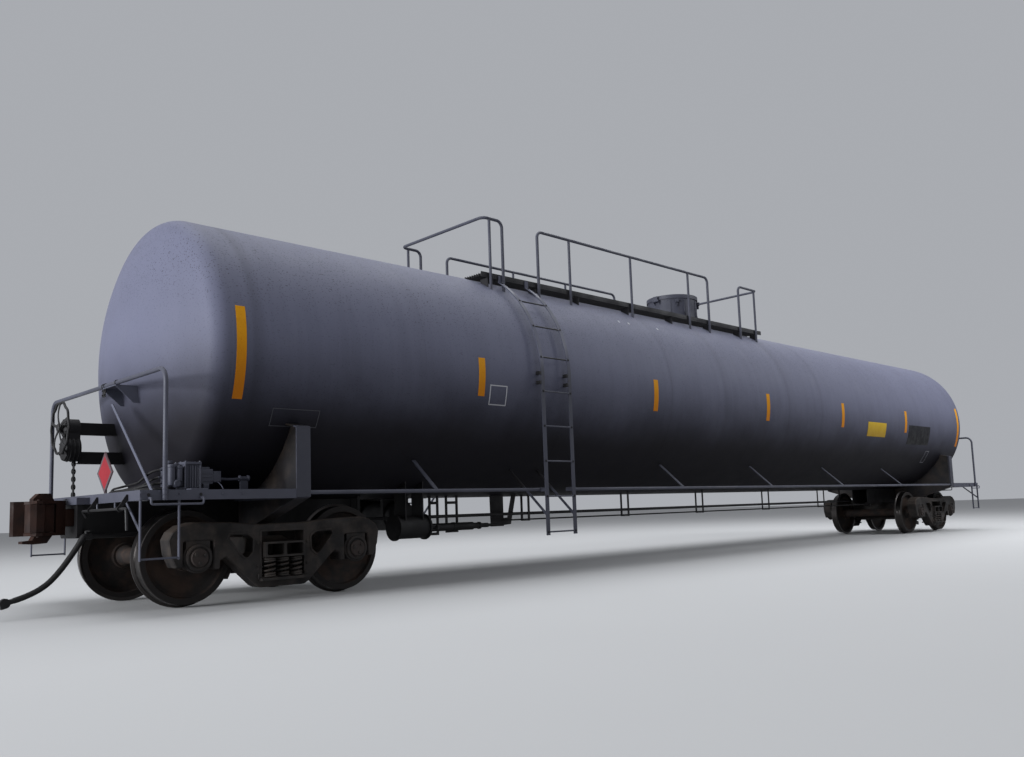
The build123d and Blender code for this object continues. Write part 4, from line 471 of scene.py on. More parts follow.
@dataclass(frozen=True)
class Waves:
    """A noise through a smooth step: start where it is below low, end where it is above high."""

    scale: float
    detail: float
    low: float
    high: float
    start: float = 0.0
    end: float = 1.0
    stretch: Place = (1, 1, 1)
    rough: float = 0.55


@dataclass(frozen=True)
class Grain:
    """Small heights from a noise: waves in a metre, finer layers, metres of height and share of the effect."""

    scale: float
    detail: float
    height: float
    strength: float = 0.5


class NodeBoard:
    """A new material with its main shader, and short calls that add nodes to it."""

    def __init__(self, name: str) -> None:
        """Start the material and find its shader.

        Args:
            name: The material's name.
        """
        self.material = bpy.data.materials.new(name)
        self.material.use_nodes = True
        self.tree = self.material.node_tree
        self.shader = self.tree.nodes["Principled BSDF"]
        self.place = self.tree.nodes.new("ShaderNodeTexCoord").outputs["Object"]

    def node(self, kind: str, **settings: object) -> bpy.types.Node:
        """Add a node.

        Args:
            kind: The node's type.
            settings: Its properties.

        Returns:
            The node.
        """
        made = self.tree.nodes.new(kind)
        for key, value in settings.items():
            setattr(made, key, value)
        return made

    def put(self, value: object, socket: Socket) -> None:
        """Link a socket to another, or set a plain value on it.

        Args:
            value: The other socket, a number or a colour.
            socket: The socket that gets it.
        """
        if isinstance(value, bpy.types.NodeSocket):
            self.tree.links.new(value, socket)
        else:
            socket.default_value = (*value, 1.0) if socket.type == "RGBA" else value

    def fill(self, made: bpy.types.Node, values: dict[str, object]) -> None:
        """Put values on a node's named inputs.

        Args:
            made: The node.
            values: Name of each input and what goes on it, where None leaves it alone.
        """
        for name, value in values.items():
            if value is not None:
                self.put(value, made.inputs[name])

    def maths(self, operation: str, *values: object) -> Socket:
        """The result of a Math node.

        Args:
            operation: The node's operation.
            values: Sockets or numbers, in order.

        Returns:
            The result.
        """
        made = self.node("ShaderNodeMath", operation=operation)
        for value, socket in zip(values, made.inputs):
            self.put(value, socket)
        return made.outputs[0]

    def apart(self, vector: Socket) -> dict[Axis, Socket]:
        """The three numbers of a vector.

        Args:
            vector: The vector.

        Returns:
            Each axis's number.
        """
        made = self.node("ShaderNodeSeparateXYZ")
        self.put(vector, made.inputs[0])
        return {axis: made.outputs[axis.value] for axis in Axis}

    def facing_up(self) -> Socket:
        """How far the face looks up, from -1 to 1."""
        return self.apart(self.node("ShaderNodeNewGeometry").outputs["Normal"])[Axis.Z]

    def noise(self, scale: float, detail: float, stretch: Place = (1, 1, 1), rough: float = 0.55) -> Socket:
        """Noise from 0 to 1 over the object.

        Args:
            scale: Waves in a metre.
            detail: Finer layers that are added.
            stretch: Factor on each direction before the noise is read.
            rough: Weight of the finer layers.

        Returns:
            The noise.
        """
        spread = self.node("ShaderNodeMapping")
        self.put(self.place, spread.inputs["Vector"])
        spread.inputs["Scale"].default_value = stretch
        made = self.node("ShaderNodeTexNoise")
        self.fill(made, {"Vector": spread.outputs[0], "Scale": scale, "Detail": detail, "Roughness": rough})
        return made.outputs["Fac"]

    def step(self, value: Socket, low: float, high: float, start: float = 0.0, end: float = 1.0) -> Socket:
        """A smooth step.

        Between low and high it is start + (end - start) (3 t^2 - 2 t^3) with t = (value - low) / (high - low).

        Args:
            value: What is stepped.
            low: Where the step starts.
            high: Where it ends.
            start: Result below low.
            end: Result above high.

        Returns:
            The result.
        """
        made = self.node("ShaderNodeMapRange", interpolation_type="SMOOTHSTEP")
        for number, socket in zip((value, low, high, start, end), made.inputs):
            self.put(number, socket)
        return made.outputs[0]

    def waves(self, waves: Waves) -> Socket:
        """The noise of some waves, run through their smooth step."""
        noise = self.noise(waves.scale, waves.detail, waves.stretch, waves.rough)
        return self.step(noise, waves.low, waves.high, waves.start, waves.end)

    def wander(self, value: Socket, scale: float, detail: float, amount: float) -> Socket:
        """The value plus amount times (noise - 1/2)."""
        off = self.maths("SUBTRACT", self.noise(scale, detail), 0.5)
        return self.maths("ADD", value, self.maths("MULTIPLY", off, amount))

    def away(self, value: Socket, centre: float = 0.0) -> Socket:
        """The distance of a value from a centre: |value - centre|."""
        return self.maths("ABSOLUTE", self.maths("SUBTRACT", value, centre) if centre else value)

    def mix(self, share: object, first: object, second: object) -> Socket:
        """A mix of two colours.

        Args:
            share: Share of the second colour, 0 to 1.
            first: The first colour.
            second: The second colour.

        Returns:
            The colour (1 - share) first + share second.
        """
        made = self.node("ShaderNodeMix", data_type="RGBA")
        colours = [socket for socket in made.inputs if socket.type == "RGBA"]
        for value, socket in zip((share, first, second), (made.inputs[0], *colours)):
            self.put(value, socket)
        return made.outputs[2]

    def bump(self, grain: Grain, under: Socket | None = None) -> Socket:
        """A normal that leans as the grain's heights would make it.

        Args:
            grain: The heights.
            under: A normal that this one is added to.

        Returns:
            The normal.
        """
        made = self.node("ShaderNodeBump")
        height = self.noise(grain.scale, grain.detail)
        self.fill(made, {"Strength": grain.strength, "Distance": grain.height, "Height": height, "Normal": under})
        return made.outputs[0]

    def wear(
        self, colour: object, rough: object, normal: object = None, sheen: object = 0.5, metal: object = 0.0
    ) -> bpy.types.Material:
        """Give the shader its inputs, each a socket or a plain value.

        Args:
            colour: Base colour.
            rough: Roughness.
            normal: Normal, or None for the mesh's own.
            sheen: Specular level.
            metal: How metallic it is.

        Returns:
            The finished material.
        """
        self.fill(self.shader, {"Base Color": colour, "Roughness": rough, "Specular IOR Level": sheen,
                                "Metallic": metal, "Normal": normal})
        return self.material


@dataclass(frozen=True)
class Finish:
    """A named surface finish that goes with one of the record's material slots."""

    name: str
    slot: str

    def material(self) -> bpy.types.Material:
        """The finish's material, made the first time that it is asked for."""
        return bpy.data.materials.get(self.name) or self.mixed(NodeBoard(self.name))

    def mixed(self, board: NodeBoard) -> bpy.types.Material:
        """Set up the nodes on a new board. Each finish has its own."""
        raise NotImplementedError(self.name)


@dataclass(frozen=True)
class TankPaint(Finish):
    """Grey paint on the tank: faint rings of painted shade, streaks, dark specks on the crown, and a near-black layer
    below that is road film and painted shade.
    """

    colour: Colour = (0.101, 0.105, 0.152)
    # film: near-black colour of the lower half, part road film and part painted shade
    film: Colour = (0.0066, 0.0058, 0.0072)
    chalk: Colour = (0.135, 0.138, 0.170)
    shade_and_film_zs: tuple[float, float] = (1.62, 2.86)
    shade_and_film_share: float = 0.97
    shade_and_film_waves: tuple[float, float] = (1.3, 6.0)
    shade_and_film_wander: float = 0.35
    shade_and_film_edge: tuple[float, float] = (0.1, 0.9)
    shade_and_film_sheen: float = 0.08
    sheen: float = 0.20
    half_length: float = 9.85
    # columns: x of the ring, half width, share of the light that it keeps
    rings: tuple[Place, ...] = (
        (-8.98, 0.100, 0.74), (-6.90, 0.030, 0.66), (-5.42, 0.025, 0.86), (-4.55, 0.120, 0.90), (-3.05, 0.030, 0.84),
        (-2.22, 0.020, 0.72), (-0.75, 0.090, 0.84), (0.12, 0.020, 0.72), (1.25, 0.090, 0.80), (2.45, 0.030, 0.84))
    # scale and detail of the noise that moves the rings, as shade_and_film_waves do the edge of the road film and
    # painted shade
    ring_waves: tuple[float, float] = (1.4, 3.0)
    ring_wander: float = 0.04
    speck_zs: tuple[float, float] = (2.75, 3.45)
    speck_shares: tuple[float, float] = (0.20, 0.62)
    specks: Waves = Waves(64.0, 0.0, 0.27, 0.33, 1.0, 0.0, (0.8, 1.2, 1.2))
    clouds: Waves = Waves(0.55, 4.0, 0.30, 0.72, 0.95, 1.04)
    streaks: Waves = Waves(5.0, 6.0, 0.35, 0.65, 0.95, 1.03, (1.6, 0.12, 0.12))
    chalky: Waves = Waves(2.2, 7.0, 0.52, 0.80, 0.0, 0.18)
    rough: Waves = Waves(3.5, 5.0, 0.3, 0.7, 0.60, 0.64)
    grain: Grain = Grain(90.0, 3.0, 0.0006)

    def ring_shade(self, board: NodeBoard, x: Socket) -> Socket:
        """A ramp along X that dips to the kept share at each ring.

        Args:
            board: The new material's nodes.
            x: Place along the tank.

        Returns:
            The share of the light.
        """
        scaled = board.maths("DIVIDE", board.maths("ADD", x, self.half_length), 2 * self.half_length)
        ramp = board.node("ShaderNodeValToRGB")
        ramp.color_ramp.interpolation = "EASE"
        stops = ramp.color_ramp.elements
        stops[0].color = stops[1].color = (1, 1, 1, 1)
        for ring_x, half, kept in self.rings:
            for offset, level in ((-half, 1.0), (0.0, kept), (half, 1.0)):
                stop = stops.new((ring_x + offset + self.half_length) / (2 * self.half_length))
                stop.color = (level, level, level, 1)
        board.put(scaled, ramp.inputs[0])
        return ramp.outputs[0]

    def mixed(self, board: NodeBoard) -> bpy.types.Material:
        """Colour is the paint times clouds, streaks, specks and rings of painted shade, then road film and painted
        shade by height.

        Args:
            board: The new material's nodes.

        Returns:
            The finished material.
        """
        axes = board.apart(board.place)
        rings = self.ring_shade(board, board.wander(axes[Axis.X], *self.ring_waves, self.ring_wander))
        on_crown = board.step(axes[Axis.Z], *self.speck_zs, *self.speck_shares)
        specks = board.maths("SUBTRACT", 1.0, board.maths("MULTIPLY", board.waves(self.specks), on_crown))
        shade = board.waves(self.clouds)
        for layer in (board.waves(self.streaks), specks, rings):
            shade = board.maths("MULTIPLY", shade, layer)
        paint = board.mix(board.waves(self.chalky), self.colour, self.chalk)
        # the lower half goes near black below a wandering height: road film and painted shade
        edge = board.wander(axes[Axis.Z], *self.shade_and_film_waves, self.shade_and_film_wander)
        shade_and_film = board.step(edge, *self.shade_and_film_zs, self.shade_and_film_share, 0.0)
        colour = board.mix(shade_and_film, board.mix(shade, self.film, paint), self.film)
        sheen = board.step(shade_and_film, *self.shade_and_film_edge, self.sheen, self.shade_and_film_sheen)
        return board.wear(colour, board.waves(self.rough), board.bump(self.grain), sheen)


@dataclass(frozen=True)
class PaintedSteel(Finish):
    """Paint on plate and pipe, with dust on what faces up, rust spots and small waves."""

    colour: Colour = (0.044, 0.046, 0.064)
    dust: Colour = (0.050, 0.052, 0.068)
    rust: Colour = (0.046, 0.030, 0.022)
    rust_share: float = 0.25
    dust_share: float = 0.5
    rough: float = 0.55
    sheen: float = 0.30
    shade: float = 0.5
    tone: Waves = Waves(1.1, 5.0, 0.3, 0.7, 0.0, 0.45)
    lying: tuple[float, float] = (0.2, 1.0)
    patch_waves: tuple[float, float] = (3.0, 6.0)
    patch_range: tuple[float, float] = (0.3, 0.7)
    rough_range: tuple[float, float] = (-0.1, 0.15)
    spots: Waves = Waves(14.0, 8.0, 0.62, 0.72, rough=0.7)
    grain: Grain = Grain(60.0, 4.0, 0.0008)

    def coat(self, board: NodeBoard) -> object:
        """The paint before tone, dust and rust: one colour here."""
        return self.colour

    def mixed(self, board: NodeBoard) -> bpy.types.Material:
        """Paint, then dust by how far the face looks up, then rust where a noise is high.

        Args:
            board: The new material's nodes.

        Returns:
            The finished material.
        """
        patches = board.noise(*self.patch_waves)
        paint = board.mix(board.waves(self.tone), self.coat(board), tuple(self.shade * c for c in self.colour))
        lying = board.maths("MULTIPLY", board.step(board.facing_up(), *self.lying),
                            board.step(patches, *self.patch_range))
        dusty = board.mix(board.maths("MULTIPLY", lying, self.dust_share), paint, self.dust)
        colour = board.mix(board.waves(replace(self.spots, end=2 * self.rust_share)), dusty, self.rust)
        rough = board.step(patches, *self.patch_range, *(self.rough + change for change in self.rough_range))
        return board.wear(colour, rough, board.bump(self.grain), self.sheen)


@dataclass(frozen=True)
class LadderPaint(PaintedSteel):
    """Grey stringers and rungs below, the tank's grey on top, with near-black painted shade on the upper rungs, the
    lugs and the upper braces.
    """

    middle_x: float = -4.860
    rung_half: float = 0.213
    rung_edge: float = 0.002
    lug_y: float = 1.566
    lug_edge: float = 0.004
    brace_z: float = 1.100
    brace_edge: float = 0.04
    change_z: tuple[float, float] = (2.55, 2.75)
    tank_grey: Colour = (0.074, 0.077, 0.112)
    # dark: painted shade on the upper rungs, the lugs and the upper braces
    dark: Colour = (0.007, 0.006, 0.0065)

    def coat(self, board: NodeBoard) -> object:
        """Grey turns to the tank's by height. Near-black painted shade on lugs and upper braces (|y| small) and on
        upper rungs.

        Args:
            board: The new material's nodes.

        Returns:
            The paint's colour.
        """
        axes = board.apart(board.place)
        upper = board.step(axes[Axis.Z], *self.change_z)
        steel = board.mix(upper, self.colour, self.tank_grey)
        off = board.away(axes[Axis.X], self.middle_x)
        between = board.step(off, self.rung_half - self.rung_edge, self.rung_half + self.rung_edge, 1.0, 0.0)
        rungs = board.maths("MULTIPLY", between, upper)
        shade_behind = board.step(board.away(axes[Axis.Y]), self.lug_y - self.lug_edge, self.lug_y, 1.0, 0.0)
        above = board.step(axes[Axis.Z], self.brace_z - self.brace_edge, self.brace_z + self.brace_edge)
        lower = board.maths("MULTIPLY", above, board.maths("SUBTRACT", 1.0, upper))
        # painted shade where the upper rungs, or the lugs and braces next to the tank, lie
        return board.mix(board.maths("MAXIMUM", rungs, board.maths("MULTIPLY", shade_behind, lower)), steel, self.dark)


@dataclass(frozen=True)
class PlacardPaint(PaintedSteel):
    """A blank red diamond with a dark grey border."""

    centre: tuple[float, float] = (0.500, 1.3125)
    half_diagonal: float = 0.158
    edge: float = 0.002
    border: Colour = (0.060, 0.055, 0.062)

    def coat(self, board: NodeBoard) -> object:
        """Border where ||y| - centre y| + |z - centre z| is over the half diagonal.

        Args:
            board: The new material's nodes.

        Returns:
            The paint's colour.
        """
        axes = board.apart(board.place)
        dy = board.away(board.away(axes[Axis.Y]), self.centre[0])
        dz = board.away(axes[Axis.Z], self.centre[1])
        line = (self.half_diagonal - self.edge, self.half_diagonal + self.edge)
        beyond = board.step(board.maths("ADD", dy, dz), *line)
        return board.mix(beyond, self.colour, self.border)


@dataclass(frozen=True)
class BolsterPaint(PaintedSteel):
    """Grey end plates over webs in near-black painted shade, with brown road dirt and pale splashes."""

    edge_y: float = 1.440
    edge_z: float = 1.020
    edge: float = 0.01
    # near-black colour of the webs: painted shade under the car, with some grime
    shade_and_grime: Colour = (0.010, 0.0085, 0.0085)
    brown: Colour = (0.050, 0.036, 0.026)
    splash: Colour = (0.16, 0.14, 0.12)
    browned: Waves = Waves(2.6, 5.0, 0.42, 0.70, 0.0, 0.8)
    splashes: Waves = Waves(38.0, 2.0, 0.69, 0.73, 0.0, 0.7)

    def coat(self, board: NodeBoard) -> object:
        """Painted shade and dirt where |y| or z is below the end plates' edge: near black, browner by noise and with
        fine splashes.

        Args:
            board: The new material's nodes.

        Returns:
            The paint's colour.
        """
        axes = board.apart(board.place)
        beyond = board.step(board.away(axes[Axis.Y]), self.edge_y, self.edge_y + self.edge)
        above = board.step(axes[Axis.Z], self.edge_z - self.edge, self.edge_z)
        browned = board.waves(self.browned)
        splashed = board.maths("MULTIPLY", board.waves(self.splashes), browned)
        # near-black painted shade with grime, browned and splashed; the end plates keep the grey
        shade_and_soil = board.mix(splashed, board.mix(browned, self.shade_and_grime, self.brown), self.splash)
        return board.mix(board.maths("MULTIPLY", beyond, above), shade_and_soil, self.colour)


@dataclass(frozen=True)
class CastSteel(Finish):
    """Dark cast steel with brown dust, lighter on what faces up, and a sand-cast grain."""

    colour: Colour = (0.017, 0.0145, 0.0138)
    dust: Colour = (0.044, 0.034, 0.028)
    grease: Colour = (0.006, 0.0055, 0.0058)
    sheen: float = 0.25
    clean: Waves = Waves(4.0, 7.0, 0.35, 0.65)
    dusty: Waves = Waves(7.0, 7.0, 0.42, 0.75, 0.0, 0.6)
    lying: tuple[float, float, float, float] = (-0.2, 1.0, 0.0, 0.6)
    rough: Waves = Waves(5.0, 5.0, 0.3, 0.7, 0.55, 0.85)
    sand: Grain = Grain(110.0, 5.0, 0.0016, 0.7)
    dents: Grain = Grain(9.0, 4.0, 0.004, 0.4)

    def mixed(self, board: NodeBoard) -> bpy.types.Material:
        """Grease to steel to dust by two noises and by how far the face looks up.

        Args:
            board: The new material's nodes.

        Returns:
            The finished material.
        """
        base = board.mix(board.waves(self.clean), self.grease, self.colour)
        settled = board.maths("ADD", board.step(board.facing_up(), *self.lying), board.waves(self.dusty))
        normal = board.bump(self.dents, board.bump(self.sand))
        return board.wear(board.mix(settled, base, self.dust), board.waves(self.rough), normal, self.sheen)


@dataclass(frozen=True)
class WheelSteel(Finish):
    """A wheelset's steel: rusty plate and hub, a darker rim and a tread polished by the rail."""

    centre_x: float = 0.0
    centre_z: float = WHEEL_CENTRE
    rust: Colour = (0.034, 0.020, 0.014)
    dark: Colour = (0.011, 0.009, 0.0085)
    bright: Colour = (0.060, 0.055, 0.053)
    cap: Colour = (0.026, 0.019, 0.017)
    rim_radii: tuple[float, float] = (0.385, 0.405)
    tread_radii: tuple[float, float] = (0.4435, 0.4515)
    tread_ys: tuple[float, float] = (0.822, 0.812)
    cap_ys: tuple[float, float] = (1.100, 1.104)
    sheen: float = 0.3
    roughs: tuple[float, float] = (0.80, 0.30)
    rusty: Waves = Waves(6.0, 7.0, 0.35, 0.68)
    polish: Waves = Waves(20.0, 3.0, 0.2, 0.5, 0.75, 1.0)
    grain: Grain = Grain(70.0, 5.0, 0.0012, 0.6)

    def mixed(self, board: NodeBoard) -> bpy.types.Material:
        """Colour by distance from the axle: r is the length of (x - centre, z - centre).

        Args:
            board: The new material's nodes.

        Returns:
            The finished material.
        """
        axes = board.apart(board.place)
        dx = board.maths("SUBTRACT", axes[Axis.X], self.centre_x)
        dz = board.maths("SUBTRACT", axes[Axis.Z], self.centre_z)
        r = board.maths("SQRT", board.maths("ADD", board.maths("MULTIPLY", dx, dx), board.maths("MULTIPLY", dz, dz)))
        out = board.away(axes[Axis.Y])
        body = board.mix(board.waves(self.rusty), self.dark, self.rust)
        rim = board.mix(board.step(r, *self.rim_radii), body, self.dark)
        polished = board.maths("MULTIPLY", board.step(r, *self.tread_radii), board.step(out, *self.tread_ys))
        worn = board.maths("MULTIPLY", polished, board.waves(self.polish))
        capped = board.mix(board.step(out, *self.cap_ys), rim, self.cap)
        rough = board.step(worn, 0.0, 1.0, *self.roughs)
        return board.wear(board.mix(worn, capped, self.bright), rough, board.bump(self.grain), self.sheen, worn)


@dataclass(frozen=True)
class Rubber(Finish):
    """Hose rubber with a fine cloth-marked skin and dust."""

    colour: Colour = (0.0065, 0.0062, 0.0062)
    dust: Colour = (0.018, 0.016, 0.015)
    sheen: float = 0.25
    dusty: Waves = Waves(12.0, 6.0, 0.45, 0.75, 0.0, 0.7)
    rough: Waves = Waves(30.0, 4.0, 0.3, 0.7, 0.55, 0.8)
    cloth: Grain = Grain(260.0, 3.0, 0.0008, 1.0)

    def mixed(self, board: NodeBoard) -> bpy.types.Material:
        """Black rubber, with dust where a noise is high.

        Args:
            board: The new material's nodes.

        Returns:
            The finished material.
        """
        colour = board.mix(board.waves(self.dusty), self.colour, self.dust)
        return board.wear(colour, board.waves(self.rough), board.bump(self.cloth), self.sheen)


@dataclass(frozen=True)
class Coating(Finish):
    """A thin coat or film in one colour, with wear, darker towards the bottom and a fine grain."""

    colour: Colour = (0.8, 0.8, 0.8)
    worn: Colour = (0.4, 0.4, 0.4)
    low: float = 1.5
    high: float = 3.0
    rough: float = 0.45
    grain_scale: float = 300.0
    sheen: float = 0.08
    specks: Waves = Waves(55.0, 4.0, 0.28, 0.42, 0.5, 0.0)
    smudges: Waves = Waves(6.0, 6.0, 0.5, 0.8, 0.0, 0.35)
    rough_waves: Waves = Waves(9.0, 4.0, 0.3, 0.7)
    rough_range: tuple[float, float] = (-0.08, 0.12)
    grain: Grain = Grain(0.0, 2.0, 0.0002)

    def mixed(self, board: NodeBoard) -> bpy.types.Material:
        """Darker towards the bottom, from the worn colour at the low height to the given one at the high height, with
        wear specks.

        Args:
            board: The new material's nodes.

        Returns:
            The finished material.
        """
        height = board.apart(board.place)[Axis.Z]
        # darker towards the bottom, between the low and the high height
        height_blend = board.mix(board.step(height, self.low, self.high), self.worn, self.colour)
        wear = board.maths("MAXIMUM", board.waves(self.specks), board.waves(self.smudges))
        start, end = (self.rough + change for change in self.rough_range)
        rough = board.waves(replace(self.rough_waves, start=start, end=end))
        grain = board.bump(replace(self.grain, scale=self.grain_scale))
        return board.wear(board.mix(wear, height_blend, self.worn), rough, grain, self.sheen)


@dataclass(frozen=True)
class StudioFloor(Finish):
    """A plain pale floor with the faintest mottling."""

    colour: Colour = (0.42, 0.42, 0.42)
    shade: float = 0.96
    rough: float = 0.9
    mottling: tuple[float, float] = (0.3, 3.0)

    def mixed(self, board: NodeBoard) -> bpy.types.Material:
        """Two near greys by a broad noise.

        Args:
            board: The new material's nodes.

        Returns:
            The finished material.
        """
        colour = board.mix(board.noise(*self.mottling), self.colour, tuple(self.shade * c for c in self.colour))
        return board.wear(colour, self.rough)


TANK_PAINT = TankPaint("tank_paint_weathered_and_shaded", "tank_paint")
GREY_STEEL = PaintedSteel("grey_paint_on_steel", "grey_steel", (0.053, 0.055, 0.075))
# a paler copy of the grey paint for the railing brace: painted light on its faces
LIT_GREY_STEEL = PaintedSteel("grey_on_steel_painted_light", "grey_steel", (0.082, 0.086, 0.118))
BLACK_STEEL = PaintedSteel("black_paint_on_steel", "black_steel", (0.0062, 0.0056, 0.0065),
                           (0.014, 0.012, 0.0115), (0.014, 0.009, 0.007), rough=0.6)
GRATING_STEEL = PaintedSteel("grating_steel", "grating", (0.018, 0.0175, 0.020),
                             (0.040, 0.037, 0.036), (0.03, 0.018, 0.012), 0.3, rough=0.6)
LADDER_PAINT = LadderPaint("ladder_paint_and_shade", "grey_steel")
BOLSTER_PAINT = BolsterPaint("bolster_paint_dirt_and_shade", "grey_steel", (0.034, 0.035, 0.048), (0.040, 0.041, 0.052))
PLACARD_PAINT = PlacardPaint("placard_blank_red", "placard_plate", (0.22, 0.006, 0.013), (0.15, 0.02, 0.022),
                             rust_share=0.1, dust_share=0.2, rough=0.45)
CAST_STEEL = CastSteel("cast_steel_dusty", "cast_steel")
RUSTY_CAST = CastSteel("cast_steel_rusty", "cast_steel", (0.019, 0.0075, 0.0050),
                       (0.030, 0.0130, 0.0082), (0.0070, 0.0036, 0.0032), 0.15)
HOSE_RUBBER = Rubber("hose_rubber_dusty", "hose_rubber")
REFLECTOR = Coating("reflector_amber_film", "", (0.56, 0.25, 0.008), (0.36, 0.115, 0.004), 2.0, 2.8, 0.38, 500.0)
SIGN_YELLOW = Coating("sign_yellow_blank", "", (0.50, 0.33, 0.03), (0.26, 0.16, 0.012), 2.0, 2.5, 0.45)
LINE_WHITE = Coating("line_white_faded", "", (0.36, 0.36, 0.38), (0.13, 0.13, 0.145), 1.7, 2.5, 0.55)
LINE_GREY = Coating("line_grey_faint", "", (0.075, 0.075, 0.085), (0.045, 0.045, 0.052), 1.7, 2.5, 0.55)
PANEL_BLACK = Coating("panel_black_blank", "", (0.016, 0.016, 0.019), (0.008, 0.008, 0.009), 1.9, 2.4, 0.5)
PALE_FLOOR = StudioFloor("floor_pale", "")

# columns: the finish, the carried-over nodes that wear it
NODE_FINISHES: tuple[tuple[Finish, str], ...] = (
    (BLACK_STEEL, "angle_cocks stub_sills draft_gears dome_valves hand_brake_housing uncoupling_levers "
     "air_reservoir reservoir_straps brake_cylinder brake_rigging brake_pipe pipe_hangers "
     "glad_hands"),
    (BOLSTER_PAINT, "body_bolsters"),
    (GREY_STEEL, "end_platforms end_railings sill_steps side_handrails handrail_struts top_railings "
     "protective_housing housing_lid manway_cover"),
    (LIT_GREY_STEEL, "railing_brace"),
    (LADDER_PAINT, "side_ladders"),
    (PLACARD_PAINT, "placard_holders"),
)


def dress_node(node: str, finish: Finish) -> None:
    """Put a finish in the material slot of a carried-over node.

    Args:
        node: The node's name.
        finish: The finish.
    """
    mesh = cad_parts[node].data
    mesh.materials.clear()
    mesh.materials.append(finish.material())


# Sub-assemblies


